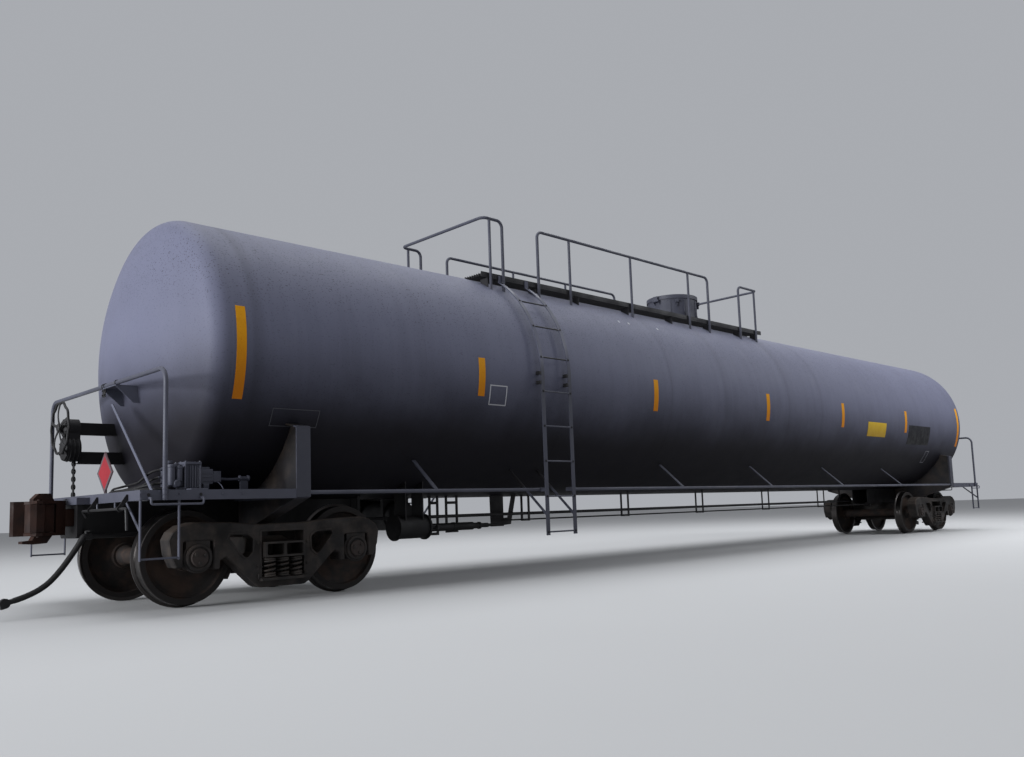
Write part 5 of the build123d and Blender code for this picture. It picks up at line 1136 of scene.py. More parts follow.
@dataclass
class Tank:
    """The smooth shell with its ring welds, and the films and lines that lie on it."""

    radius: float = TANK_RADIUS
    axis_z: float = TANK_AXIS
    tip: float = 9.750
    crown: float = 3.300
    knuckle: float = 0.200
    round_points: int = 192
    weld_xs: tuple[float, ...] = (-9.235, -6.90, -4.55, -2.22, 0.12, 2.45, 4.78, 7.12, 9.235)
    weld_height: float = 0.0009
    weld_half: float = 0.010
    lift: float = 0.0026
    # columns: x of the strip's middle, lowest and highest point
    tall_strips: tuple[Place, ...] = ((-9.158, 1.976, 2.871), (9.158, 1.976, 2.871))
    short_strip_xs: tuple[float, ...] = (-6.06, -2.63, 0.52, 3.28, 6.19)
    short_strip_zs: tuple[float, float] = (2.195, 2.653)
    strip_width: float = 0.102
    outline_box: Box = (-5.925, -5.640, 2.099, 2.342)
    sign_box: Box = (4.37, 5.21, 2.066, 2.350)
    far_sign_shift: float = 1.05
    panel_box: Box = (6.35, 7.50, 1.96, 2.36)
    pad_box: Box = (-8.76, -8.22, 1.742, 1.915)
    slant_box: Box = (7.54, 7.72, 1.590, 1.840)
    line_width: float = 0.014
    slant_share: float = 0.8
    pad_share: float = 0.6
    # columns: x and height of the middle of a small white dab
    dabs: tuple[tuple[float, float], ...] = ((-2.910, 3.555), (-2.680, 3.553), (-1.970, 3.552))
    dab_half: float = 0.016

    def shell(self) -> Surface:
        """The tank as one turned surface.

        The half profile is a straight line, a knuckle arc and a crown arc about the axis. Each weld
        adds height times exp(-((x - weld) / half)^2).

        Returns:
            The closed surface.
        """
        reach = sqrt((self.crown - self.knuckle) ** 2 - (self.radius - self.knuckle) ** 2)
        half = self.tip - self.crown + reach
        slope = asin((self.radius - self.knuckle) / (self.crown - self.knuckle))
        near_weld = np.linspace(-2.5, 2.5, 11)[None, :] * self.weld_half
        welds = np.asarray(self.weld_xs)[:, None]
        straight = np.concatenate([np.linspace(-half, half, 121), (welds + near_weld).ravel()])
        straight = np.unique(np.round(straight, 5))
        straight = straight[np.abs(straight) <= half]
        raised = (self.weld_height * np.exp(-(((straight[:, None] - welds.T) / self.weld_half) ** 2))).sum(axis=1)
        bend = np.linspace(pi / 2, slope, 12)[1:]
        dish = np.linspace(slope, 0.0, 20)[1:]
        cap_x = np.concatenate([half + self.knuckle * np.cos(bend), half - reach + self.crown * np.cos(dish)])
        cap_r = np.concatenate([self.radius - self.knuckle + self.knuckle * np.sin(bend), self.crown * np.sin(dish)])
        along = np.concatenate([-cap_x[::-1], straight, cap_x])
        radius = np.concatenate([cap_r[::-1], self.radius + raised, cap_r])
        return lathe(np.stack([along, radius], axis=1), Axis.X, (0, 0, self.axis_z), self.round_points)

    def on_side(self, box: Box, side: Side, shift: float = 0.0) -> Box:
        """A near box on a side: on the far one, x runs from shift - x1 to shift - x0."""
        return box if side is Side.NEAR else (shift - box[1], shift - box[0], *box[2:])

    def film(self, box: Box, side: Side, layers: int = 1) -> Surface:
        """A thin film on the shell between two x and two heights.

        A height z lies at the angle asin((z - axis) / radius). A flat rectangle, as wide as the film
        and as thick as its layers, is carried along that arc.

        Args:
            box: Lower and upper x, lower and upper height.
            side: The side of the car.
            layers: Thickness of the film in lifts.

        Returns:
            The closed surface.
        """
        x_low, x_high, *heights = box
        lift = layers * self.lift
        turn = np.linspace(*(asin((z - self.axis_z) / self.radius) for z in heights), 14)
        out = spots(0, side.value * np.cos(turn), np.sin(turn))
        path = np.array([(x_low + x_high) / 2, 0.0, self.axis_z]) + (self.radius + lift / 2) * out
        columns = np.linspace(-0.5, 0.5, 5) * (x_high - x_low)
        edge = np.stack([np.concatenate([columns, columns[::-1]]), np.repeat([-lift, lift], 5) / 2], axis=1)
        return carried(edge, path, (1, 0, 0), out)

    def frame_lines(self, box: Box, side: Side, share: float = 1.0) -> Surface:
        """Four thin films along the edges of a box on the shell.

        Args:
            box: Lower and upper x, lower and upper height.
            side: The side of the car.
            share: Share of the line's width.

        Returns:
            The films as one surface.
        """
        x0, x1, z0, z1 = box
        w = share * self.line_width
        edges = ((x0, x1, z1 - w, z1), (x0, x1, z0, z0 + w),
                 (x0, x0 + w, z0 + w, z1 - w), (x1 - w, x1, z0 + w, z1 - w))
        return joined([self.film(edge, side) for edge in edges])

    def build(self) -> None:
        """Make and dress the shell and everything that lies on it."""
        make_piece("tank_shell", self.shell(), TANK_PAINT, ["tank"])
        w, h = self.strip_width / 2, self.dab_half
        places = (*self.tall_strips, *((x, *self.short_strip_zs) for x in self.short_strip_xs))
        for side in Side:
            name = side.name.lower()
            strips = [self.film((x - w, x + w, z0, z1), side) for x, z0, z1 in places]
            make_piece(f"reflector_strips_{name}", joined(strips), REFLECTOR)
            outline = self.frame_lines(self.on_side(self.outline_box, side), side)
            slant = self.frame_lines(self.on_side(self.slant_box, side), side, self.slant_share)
            make_piece(f"outline_box_{name}", joined([outline, slant]), LINE_WHITE)
            sign = self.on_side(self.sign_box, side, self.far_sign_shift)
            make_piece(f"sign_plate_{name}", self.film(sign, side, 2), SIGN_YELLOW)
            make_piece(f"dark_panel_{name}", self.film(self.on_side(self.panel_box, side), side), PANEL_BLACK)
            pad = self.frame_lines(self.on_side(self.pad_box, side), side, self.pad_share)
            make_piece(f"pad_outline_{name}", pad, LINE_GREY)
        dabs = [self.film((x - h, x + h, z - h, z + h), Side.NEAR) for x, z in self.dabs]
        make_piece("white_dabs", joined(dabs), LINE_WHITE)


@dataclass
class Truck:
    """What is dressed on one truck: coil springs and its castings."""

    end: CarEnd
    journal_y: float = 1.0035
    pitch_x: float = 0.150
    pitch_y: float = 0.156
    coil_low: float = RAIL_TOP + 0.217 + SEAT
    coil_high: float = RAIL_TOP + 0.420 - SEAT
    # columns: outer radius of the coil, radius of its wire, turns
    coils: tuple[Place, ...] = ((0.068, 0.0115, 6.5), (0.040, 0.0075, 8.5))
    cast_nodes: tuple[str, ...] = ("side_frames", "truck_bolster", "brake_beams", "bearings")

    def coil(self, outer: float, wire: float, turns: float) -> Surface:
        """One spring coil about the Z axis, standing on 0.

        The wire's line is (mean cos t, mean sin t, wire + rise (s - 0.8 sin(2 pi s) / (2 pi))) with
        s = t / (2 pi turns) and mean = outer - wire, so its end turns lie flatter.

        Args:
            outer: Outer radius.
            wire: Radius of the wire.
            turns: Number of turns.

        Returns:
            The closed surface.
        """
        share = np.linspace(0.0, 1.0, int(20 * turns) + 1)
        turn = 2 * pi * turns * share
        rise = self.coil_high - self.coil_low - 2 * wire
        height = wire + rise * (share - 0.8 * np.sin(2 * pi * share) / (2 * pi))
        mean = outer - wire
        return tube(spots(mean * np.cos(turn), mean * np.sin(turn), height), wire, sides=8)

    def springs(self) -> Surface:
        """All spring groups: three by two nests under each end of the bolster.

        Returns:
            The nests as one surface.
        """
        nest = joined([self.coil(*sizes) for sizes in self.coils])
        columns = np.array([-1.0, 0.0, 1.0]) * self.pitch_x + self.end.value * TRUCK_CENTRE
        rows = [side * self.journal_y + row * self.pitch_y / 2 for side in (-1, 1) for row in (-1, 1)]
        return stamped(nest, lattice(columns, rows, [self.coil_low]))

    def build(self) -> None:
        """Make the springs and put the cast finish on the truck's nodes."""
        letter = self.end.letter
        make_piece(f"coil_springs_{letter}", self.springs(), CAST_STEEL, [f"truck_springs_{letter}"],
                   f"truck_{letter}", 60.0)
        for node in self.cast_nodes:
            dress_node(f"{node}_{letter}", CAST_STEEL)


@dataclass
class Wheelset:
    """One axle with its wheels: finish by radius, and the bolts of its end caps."""

    number: int
    centre_x: float
    cap_y: float = 1.132
    bolt_ring: float = 0.052
    bolt_radius: float = 0.017
    bolt_height: float = 0.014
    turn_step: float = 0.4

    def cap_bolts(self) -> Surface:
        """Three hexagon heads on each end cap, evenly round the axle.

        Returns:
            The heads of both caps.
        """
        turn = 2 * pi * np.arange(3) / 3 + self.turn_step * self.number
        ring = spots(self.bolt_ring * np.cos(turn), 0, self.bolt_ring * np.sin(turn))
        shape = bolt_head(self.bolt_radius, self.bolt_height)
        middle = (self.centre_x, 0, WHEEL_CENTRE)
        return joined([stamped(shape, ring + middle + (0, side.value * self.cap_y, 0), (side.value, 0, 0), (0, 0, -1))
                       for side in Side])

    def build(self) -> None:
        """Dress the wheels and axle, and add the bolts."""
        finish = WheelSteel(f"wheel_steel_{self.number}", "wheel_steel", self.centre_x)
        dress_node(f"wheels_{self.number}", finish)
        dress_node(f"axle_{self.number}", finish)
        make_piece(f"cap_bolts_{self.number}", self.cap_bolts(), CAST_STEEL, body=f"wheelset_{self.number}")


@dataclass
class RunningBoards:
    """Open gratings on both sides of the housing, their toe boards and feet."""

    first_x: float = -5.440
    last_x: float = 1.540
    outer_y: float = 0.856
    width: float = 0.330
    top: float = RAIL_TOP + 3.920
    depth: float = 0.045
    toe_plate: float = 0.008
    inner_plate: float = 0.006
    toe_top: float = RAIL_TOP + 3.935
    toe_height: float = 0.070
    bar: float = 0.005
    bar_count: int = 8
    tooth: float = 0.006
    pitch: float = 0.0355
    cross_half: tuple[float, float] = (0.0025, 0.010)
    cross_drop: float = 0.020
    # lowest and highest corner of a cross bar's end, about the toe board's outer face
    stud: tuple[Place, Place] = ((-0.006, -0.0025, -0.012), (0.006, 0.001, 0.012))
    stud_drop: float = 0.030
    foot_xs: tuple[float, ...] = (-5.30, -4.40, -3.50, -2.34, -1.20, -0.10, 0.85, 1.42)
    foot_plate: float = 0.012
    foot_middle: float = 0.760
    foot_half: float = 0.070

    def teeth(self) -> Surface:
        """Long bars whose upper edge goes up and down like a saw.

        Bar k lies at an even step across the board. Its path rises and falls by the tooth at each
        half pitch.

        Returns:
            All long bars of the near board.
        """
        x = np.arange(self.first_x + 0.004, self.last_x - 0.004, self.pitch / 2)
        wave = np.where(np.arange(len(x)) % 2 == 0, 0.0, -self.tooth)
        height = self.depth - self.tooth
        path = spots(x, 0, self.top - height / 2 + wave)
        bar = carried(rectangle(self.bar, height), path, (0, 1, 0), (0, 0, 1))
        inner = self.outer_y - self.width + self.bar
        return stamped(bar, spots(0, np.linspace(-self.outer_y + self.toe_plate + self.bar, -inner, self.bar_count), 0))

    def along(self, shape: Surface, step: float, y: float, z: float) -> Surface:
        """A shape at even steps along the board.

        Args:
            shape: The shape, about (0, 0, 0).
            step: Distance from one to the next.
            y: Where they stand across the board.
            z: Height of their middle.

        Returns:
            All of them as one surface.
        """
        return stamped(shape, spots(np.arange(self.first_x + 0.03, self.last_x - 0.02, step), y, z))

    def feet(self) -> Surface:
        """Plates under the board, cut to the tank's round.

        At distance y the plate reaches from the board down to axis + sqrt(radius^2 - y^2).

        Returns:
            The feet of the near board.
        """
        y = np.linspace(-self.foot_middle - self.foot_half, -self.foot_middle + self.foot_half, 12)
        low = TANK_AXIS + np.sqrt(TANK_RADIUS**2 - y**2) + 2 * SEAT
        high = self.top - self.depth
        up = spots(0, 0, (high - low) / 2)
        foot = carried(rectangle(1, 2), spots(0, y, (low + high) / 2), (self.foot_plate, 0, 0), up)
        return stamped(foot, spots(self.foot_xs, 0, 0))

    def build(self) -> None:
        """Make both boards. The far one is the near one with Y turned round."""
        outer = -self.outer_y
        half = (self.width - self.toe_plate) / 2
        thin, tall = self.cross_half
        cross = self.along(block((-thin, -half, -tall), (thin, half, tall), 0.0005), 2 * self.pitch,
                           outer + self.width / 2 + self.toe_plate / 2, self.top - self.cross_drop)
        studs = self.along(block(*self.stud, 0.0008), self.pitch, outer, self.top - self.stud_drop)
        inner = outer + self.width
        edges = blocks([
            ((self.first_x, outer, self.toe_top - self.toe_height),
             (self.last_x, outer + self.toe_plate, self.toe_top)),
            ((self.first_x, inner - self.inner_plate, self.top - self.depth), (self.last_x, inner, self.top))], 0.001)
        near = joined([self.teeth(), cross, studs, self.feet(), edges])
        for name, board in (("near", near), ("far", mirrored(near, Axis.Y))):
            make_piece(f"running_board_{name}", board, GRATING_STEEL, ["running_boards"], crease=20.0)


@dataclass
class HousingFittings:
    """Bolts, ribs and lugs round the housing, and the nuts on the manway cover."""

    # columns: radius of the ring, its height, bolts, radius of a bolt
    foot_ring: tuple[float, float, int, float] = (0.462, TANK_AXIS + TANK_RADIUS + 0.020, 24, 0.014)
    cover_ring: tuple[float, float, int, float] = (0.363, TANK_AXIS + TANK_RADIUS + 0.075 + 0.018, 20, 0.013)
    rib_root: float = 0.434
    rib_half: float = 0.005
    # columns: height of the rib's outline over the tank's top, how far it stands out
    rib_steps: tuple[tuple[float, float], ...] = (
        (0.019, 0.046), (0.039, 0.040), (0.119, 0.014), (0.380, 0.010), (0.400, 0.004))
    rib_turns: tuple[float, ...] = (0.60, 1.25, 1.95, 2.55, 3.70, 4.25, 4.90, 5.55)
    # lowest and highest corner of a lug's block and of its web, edge
    lug: tuple[tuple[Place, Place, float], ...] = (
        ((0.434, -0.028, -0.045), (0.486, 0.028, 0.010), 0.004),
        ((0.434, -0.006, -0.110), (0.470, 0.006, -0.040), 0.002))
    lug_height: float = 0.380
    lug_turns: tuple[float, ...] = (1.10, 2.20, 3.95, 5.25)
    tank_top: float = TANK_AXIS + 1.5000

    def ring(self, radius: float, height: float, count: int, size: float) -> Surface:
        """Bolt heads evenly round a circle about Z."""
        turn = 2 * pi * np.arange(count) / count
        return bolts(spots(radius * np.cos(turn), radius * np.sin(turn), height), size, 0.9 * size)

    def round_wall(self, shape: Surface, turns: Sequence[float], height: float = 0.0) -> Surface:
        """A shape at several turns about Z, each of which takes its X to (cos t, sin t, 0).

        Args:
            shape: The shape at turn 0.
            turns: The turns.
            height: Added to the heights.

        Returns:
            All of them as one surface.
        """
        turn = np.asarray(turns)
        out, side = spots(np.cos(turn), np.sin(turn), 0), spots(-np.sin(turn), np.cos(turn), 0)
        return stamped(shape, spots(0 * turn, 0, height), out, side)

    def ribs(self) -> Surface:
        """Upright flat bars round the wall, each with a wider foot.

        Returns:
            All ribs as one surface.
        """
        rise, reach = np.asarray(self.rib_steps).T
        rise = rise + self.tank_top
        outline = np.concatenate([np.stack([0 * reach, rise], axis=1), np.stack([reach, rise], axis=1)[::-1]])
        middle = outline.mean(axis=0)
        path = spots(0, (-self.rib_half, self.rib_half), 0)
        rib = carried(outline - middle, path, (1, 0, 0), (0, 0, 1))
        return self.round_wall(rib.moved((self.rib_root + middle[0], 0, middle[1])), self.rib_turns)

    def build(self) -> None:
        """Make the ribs, the lugs, the foot bolts and the cover's nuts."""
        lug = joined([block(*sizes) for sizes in self.lug])
        lugs = self.round_wall(lug, self.lug_turns, self.tank_top + self.lug_height)
        make_piece("housing_ribs", self.ribs(), GREY_STEEL)
        make_piece("housing_lugs", lugs, GREY_STEEL)
        make_piece("housing_foot_bolts", self.ring(*self.foot_ring), GREY_STEEL)
        make_piece("manway_nuts", self.ring(*self.cover_ring), BLACK_STEEL)


@dataclass
class GrabIrons:
    """Bent rods at the platforms' corners: dropped ones on the side sills and hanging ones at the ends."""

    radius: float = 0.0100
    root_y: float = 1.4995
    reach: float = 0.060
    drop: float = 0.055
    side_z: float = RAIL_TOP + 1.012
    side_xs: tuple[float, float] = (-10.035, -9.560)
    end_x: float = -10.095
    end_ys: tuple[float, float] = (-0.900, -0.460)
    end_root_z: float = RAIL_TOP + 0.9948
    end_low_z: float = RAIL_TOP + 0.935
    bend: float = 0.022
    bolt_rise: float = 0.030

    def side_rod(self) -> Surface:
        """Out from the sill, down by the drop, along, and back up and in.

        Returns:
            The rod at one corner.
        """
        x0, x1 = self.side_xs
        out, low = -self.root_y - self.reach, self.side_z - self.drop
        corners = [(x0, -self.root_y, self.side_z), (x0, out, self.side_z), (x0, out, low),
                   (x1, out, low), (x1, out, self.side_z), (x1, -self.root_y, self.side_z)]
        return tube(eased(corners, self.bend), self.radius, (0.3, 0.5, 0.8), 10)

    def end_rod(self) -> Surface:
        """Down from the sill, along and back up.

        Returns:
            The rod at one corner.
        """
        y0, y1 = self.end_ys
        x, root, low = self.end_x, self.end_root_z, self.end_low_z
        corners = [(x, y0, root), (x, y0, low), (x, y1, low), (x, y1, root)]
        return tube(eased(corners, self.bend), self.radius, (1, 0, 0), 10)

    def build(self) -> None:
        """Make the rods at all four corners, with a bolt head by each root on the side sill."""
        rods = at_corners(joined([self.side_rod(), self.end_rod()]))
        make_piece("grab_irons_bent", rods, GREY_STEEL, ["grab_irons"])
        places = spots(self.side_xs, -self.root_y - 0.0008, self.side_z + self.bolt_rise)
        make_piece("grab_iron_bolts", at_corners(bolts(places, 0.011, 0.009, Facing.NEAR)), BLACK_STEEL)


@dataclass
class HandBrake:
    """The hand brake's waved wheel, channel arms, gear covers with bolts, and chain."""

    centre: Place = (-10.200, 0.310, RAIL_TOP + 1.780)
    rim_radius: float = 0.257
    rim_wave: float = 0.008
    rim_bar: float = 0.013
    waves: int = 10
    spokes: int = 5
    spoke_bow: float = 0.020
    spoke_size: Place = (0.036, 0.010, 0.003)
    # columns: distance along the axle, radius
    hub: tuple[tuple[float, float], ...] = (
        (-0.030, 0), (-0.030, 0.028), (-0.022, 0.043), (0.018, 0.043), (0.024, 0.036), (0.024, 0))
    cover_x: float = -10.150
    cover_steps: tuple[float, ...] = (0.002, 0.002, -0.016, -0.024, -0.034, -0.034)
    lower_z: float = RAIL_TOP + 1.570
    # columns: height of the cover's middle, radius of its wall, step and boss, of its bolts' ring, points round
    covers: tuple[tuple[float, float, float, float, float, int], ...] = (
        (RAIL_TOP + 1.780, 0.090, 0.072, 0.036, 0.081, 32), (RAIL_TOP + 1.570, 0.119, 0.096, 0.060, 0.108, 36))
    band_xs: tuple[float, ...] = (-10.128, -10.090, -10.050)
    band_radius: float = 0.126
    # the release lever from the lower cover's middle: x, and distance across and up
    lever: tuple[Place, ...] = ((-10.165, -0.03, 0.0), (-10.185, -0.09, -0.02), (-10.190, -0.19, -0.09))
    arm_x: float = -10.030
    arm_y: float = 0.330
    arm_half: float = 0.036
    arm_rise: float = 0.062
    arm_plate: float = 0.010
    # columns: height of the arm's middle, x of its end in the head
    arms: tuple[tuple[float, float], ...] = ((RAIL_TOP + 1.780, -9.640), (RAIL_TOP + 1.482, -9.555))
    chain_place: tuple[float, float] = (-10.070, 0.290)
    chain_top: float = RAIL_TOP + 1.420
    chain_low: float = RAIL_TOP + 1.105
    chain_links: int = 9
    # half width and half height of a link's line, radius of its bar
    link: Place = (0.018, 0.028, 0.0055)

    def wheel(self) -> Surface:
        """Rim, spokes and hub.

        The rim's line is at radius r + w cos(n t). A spoke's line goes out from the hub and bows
        towards the user by bow times sin(pi s).

        Returns:
            The wheel at its place.
        """
        turn = np.linspace(0.0, 2 * pi, 120, endpoint=False)
        reach = self.rim_radius + self.rim_wave * np.cos(self.waves * turn)
        parts = [tube(spots(0, reach * np.cos(turn), reach * np.sin(turn)), self.rim_bar, (1, 0, 0), 8, True)]
        share = np.linspace(0.08, 1.0, 9)
        width = 0.75 + 0.45 * (2 * share - 1) ** 2
        for angle in 2 * pi * (np.arange(self.spokes) + 0.25) / self.spokes:
            along = share * self.rim_radius
            path = spots(-self.spoke_bow * np.sin(pi * share), along * cos(angle), along * sin(angle))
            parts.append(carried(rectangle(*self.spoke_size), path, (0, -sin(angle), cos(angle)), (1, 0, 0), width))
        parts.append(lathe(self.hub, Axis.X, (0, 0, 0), 24))
        return joined(parts).moved(self.centre)

    def gear(self) -> Surface:
        """Two round covers with steps and bolts, the bands round the lower one and the release lever.

        Returns:
            All of it as one surface.
        """
        y = self.centre[1]
        turn = 2 * pi * (np.arange(6) + 0.5) / 6
        parts = []
        for z, wall, step, boss, ring, points in self.covers:
            profile = list(zip(self.cover_steps, (0, wall, wall, step, boss, 0)))
            parts.append(lathe(profile, Axis.X, (self.cover_x, y, z), points))
            places = spots(self.cover_x - 0.015, y + ring * np.cos(turn), z + ring * np.sin(turn))
            parts.append(bolts(places, 0.008, 0.010, Facing.BRAKE_END))
        parts += [hoop((x, y, self.lower_z), Axis.X, self.band_radius, 0.006, 40) for x in self.band_xs]
        lever = np.asarray(self.lever) + (0, y, self.lower_z)
        return joined([*parts, tube(eased(lever, 0.03), 0.008, (1, 0, 0), 8)])

    def channels(self) -> Surface:
        """Each arm as a channel: a web and two flanges round the plain bar.

        Returns:
            Both arms.
        """
        near, far, t = self.arm_y - self.arm_half, self.arm_y + self.arm_half, self.arm_plate
        boxes = []
        for z, end_x in self.arms:
            low, high = z - self.arm_rise, z + self.arm_rise
            boxes += [((self.arm_x, near, low), (end_x, far, low + t)),
                      ((self.arm_x, near, high - t), (end_x, far, high)),
                      ((self.arm_x, near, low + t / 2), (end_x, near + t, high - t / 2))]
        return blocks(boxes)

    def chain(self) -> Surface:
        """Oval links round the pull rod, each a quarter turn from the one above.

        Returns:
            All links.
        """
        half_width, half_height, bar = self.link
        turn = np.linspace(0.0, 2 * pi, 16, endpoint=False)
        link = tube(spots(half_width * np.cos(turn), 0, half_height * np.sin(turn)), bar, (0, 1, 0), 6, True)
        origins = spots(*self.chain_place, np.linspace(self.chain_top, self.chain_low, self.chain_links))
        even = (np.arange(self.chain_links) % 2 == 0)[:, None]
        across = np.where(even, [[1.0, 0, 0]], [[0, 1.0, 0]])
        up = np.where(even, [[0, 1.0, 0]], [[-1.0, 0, 0]])
        return stamped(link, origins, across, up)

    def build(self) -> None:
        """Make the wheel in place of its node, and the rest on the gear housing."""
        make_piece("brake_wheel_waved", self.wheel(), BLACK_STEEL, ["hand_brake_wheel"])
        make_piece("brake_gear_covers", self.gear(), BLACK_STEEL)
        make_piece("brake_arm_channels", self.channels(), BLACK_STEEL)
        make_piece("brake_chain", self.chain(), BLACK_STEEL)


@dataclass
class ControlValve:
    """The control valve on the platform: ribbed middle, lobed and flat portions, pipes and fitting."""

    fitting: Place = (-8.910, -1.060, RAIL_TOP + 1.208)
    # columns: distance along the fitting, radius
    fitting_steps: tuple[tuple[float, float], ...] = (
        (-0.052, 0), (-0.052, 0.026), (-0.042, 0.030), (-0.036, 0.022),
        (0.030, 0.022), (0.036, 0.030), (0.052, 0.030), (0.052, 0))
    foot_xs: tuple[float, float] = (-8.954, -8.866)
    pipe_x: float = -9.225
    pipe_radius: float = 0.0135
    pipe_sag: float = 0.010
    # columns: lowest corner and highest corner, heights over the deck
    boxes: tuple[tuple[Place, Place], ...] = (
        ((-9.720, -1.190, SEAT), (-9.360, -1.050, 0.016)),
        ((-9.585, -1.218, 0.012), (-9.438, -1.020, 0.262)),
        ((-9.592, -1.240, 0.244), (-9.431, -1.000, 0.268)),
        ((-9.592, -1.236, 0.020), (-9.574, -1.216, 0.246)),
        ((-9.449, -1.236, 0.020), (-9.431, -1.216, 0.246)),
        ((-9.735, -1.195, 0.040), (-9.588, -1.030, 0.222)),
        ((-9.722, -1.150, 0.218), (-9.600, -1.050, 0.250)),
        ((-9.434, -1.200, 0.062), (-9.300, -1.050, 0.205)),
        ((-9.302, -1.192, 0.078), (-9.214, -1.060, 0.186)),
        ((-9.404, -1.165, 0.200), (-9.316, -1.085, 0.226)),
        ((-9.400, -1.208, 0.016), (-9.340, -1.170, 0.066)),
        ((-9.655, -1.4990, -0.006), (-9.487, -1.400, 0.012)),
    )
    # upright ribs: x of the first and the last, how many, half width, y and height of their corners
    rib_xs: tuple[float, float, int] = (-9.563, -9.460, 5)
    rib_half: float = 0.005
    rib_corners: tuple[tuple[float, float], tuple[float, float]] = ((-1.230, 0.030), (-1.216, 0.238))
    # level bars: height of each, x and y of their corners
    bar_heights: tuple[float, ...] = (0.090, 0.125, 0.160)
    bar_depth: float = 0.010
    bar_corners: tuple[tuple[float, float], tuple[float, float]] = ((-9.428, -1.208), (-9.306, -1.198))
    # columns: x and y of the lobe, height of its foot and top, radius
    lobes: tuple[tuple[float, float, float, float, float], ...] = (
        (-9.704, -1.200, 0.052, 0.244, 0.033),
        (-9.636, -1.208, 0.090, 0.232, 0.029),
        (-9.668, -1.060, 0.240, 0.286, 0.030),
    )
    lobe_shares: tuple[float, ...] = (0, 0.9, 1.0, 1.0, 1.18, 1.18, 0.95, 0)
    cap: Place = (-9.662, -1.190, DECK + 0.066)
    cap_steps: tuple[tuple[float, float], ...] = (
        (-0.050, 0), (-0.050, 0.026), (-0.040, 0.036), (0.0, 0.038), (0.0, 0))
    union_x: float = -9.735
    # columns: y and height of the union on the valve's end, radius
    unions: tuple[Place, ...] = ((-1.165, 0.196, 0.021), (-1.130, 0.128, 0.018), (-1.175, 0.072, 0.020))
    # columns: distance along a union, share of its radius
    union_steps: tuple[tuple[float, float], ...] = (
        (-0.062, 0), (-0.062, 0.62), (-0.034, 0.62), (-0.034, 1.0), (0.004, 1.0), (0.004, 0))
    # the bolts' x, y and heights
    flange_bolts: tuple[tuple[float, ...], ...] = ((-9.580, -9.443), (-1.228, -1.120, -1.012), (0.268,))
    cover_bolts: tuple[tuple[float, ...], ...] = ((-9.290, -9.228), (-1.192,), (0.090, 0.172))
    release: tuple[Place, ...] = ((-9.250, -1.185, 0.085), (-9.285, -1.330, 0.050), (-9.330, -1.470, 0.006))

    def castings(self) -> Surface:
        """Blocks, ribs, lobes, unions and bolts of the valve, with heights over the deck.

        Returns:
            All of it as one surface, at its height.
        """
        (rib_y0, rib_z0), (rib_y1, rib_z1) = self.rib_corners
        ribs = [((x - self.rib_half, rib_y0, rib_z0), (x + self.rib_half, rib_y1, rib_z1))
                for x in np.linspace(*self.rib_xs)]
        bars = [((*self.bar_corners[0], z), (*self.bar_corners[1], z + self.bar_depth)) for z in self.bar_heights]
        parts = [blocks(self.boxes, 0.004), blocks([*ribs, *bars])]
        for x, y, foot, top, radius in self.lobes:
            rise = (foot, foot, foot + 0.008, top - 0.030, top - 0.024, top - 0.006, top, top)
            profile = [(z, radius * share) for z, share in zip(rise, self.lobe_shares)]
            parts.append(lathe(profile, Axis.Z, (x, y, 0), 20))
        for y, z, radius in self.unions:
            profile = [(x, radius * share) for x, share in self.union_steps]
            parts.append(lathe(profile, Axis.X, (self.union_x, y, z), 6))
        parts.append(bolts(lattice(*self.flange_bolts), 0.009, 0.009))
        parts.append(bolts(lattice(*self.cover_bolts), 0.007, 0.007, Facing.NEAR))
        cap = lathe(self.cap_steps, Axis.Y, self.cap, 20)
        return joined([joined(parts).moved((0, 0, DECK)), cap])

    def line(self) -> Surface:
        """The pipe to the fitting, which sags by a half sine, the fitting, its plate and the release rod.

        Returns:
            All of it as one surface.
        """
        x, y, z = self.fitting
        share = np.linspace(0.0, 1.0, 12)
        path = spots(self.pipe_x + share * (x - self.pipe_x), y, z - self.pipe_sag * np.sin(pi * share))
        foot = block((self.foot_xs[0], y - 0.005, DECK + SEAT), (self.foot_xs[1], y + 0.005, z))
        release = eased(np.asarray(self.release) + (0, 0, DECK), 0.03)
        return joined([tube(path, self.pipe_radius), lathe(self.fitting_steps, Axis.X, self.fitting, 20), foot,
                       tube(release, 0.005, (1, 0, 0), 8)])

    def build(self) -> None:
        """Make the valve in place of its node."""
        make_piece("control_valve_body", self.castings(), GREY_STEEL, ["control_valve"])
        make_piece("control_valve_line", self.line(), GREY_STEEL)


@dataclass
class RodAdjuster:
    """The thick sleeve of the slack adjuster on the lower brake rod, with its collars and nuts."""

    rod_y: float = -0.200
    rod_z: float = RAIL_TOP + 0.615
    # columns: x of each step along the sleeve, its radius
    steps: tuple[tuple[float, float], ...] = (
        (-6.050, 0.0), (-6.050, 0.030), (-5.960, 0.030), (-5.950, 0.044), (-5.915, 0.044), (-5.905, 0.052),
        (-5.500, 0.052), (-5.495, 0.058), (-5.455, 0.058), (-5.450, 0.052), (-5.140, 0.052), (-5.130, 0.040),
        (-5.040, 0.040), (-5.035, 0.048), (-5.005, 0.048), (-5.000, 0.030), (-4.860, 0.030), (-4.860, 0.0))

    def build(self) -> None:
        """Make the sleeve, turned about the rod."""
        make_piece("slack_adjuster", lathe(self.steps, Axis.X, (0, self.rod_y, self.rod_z), 24), BLACK_STEEL)


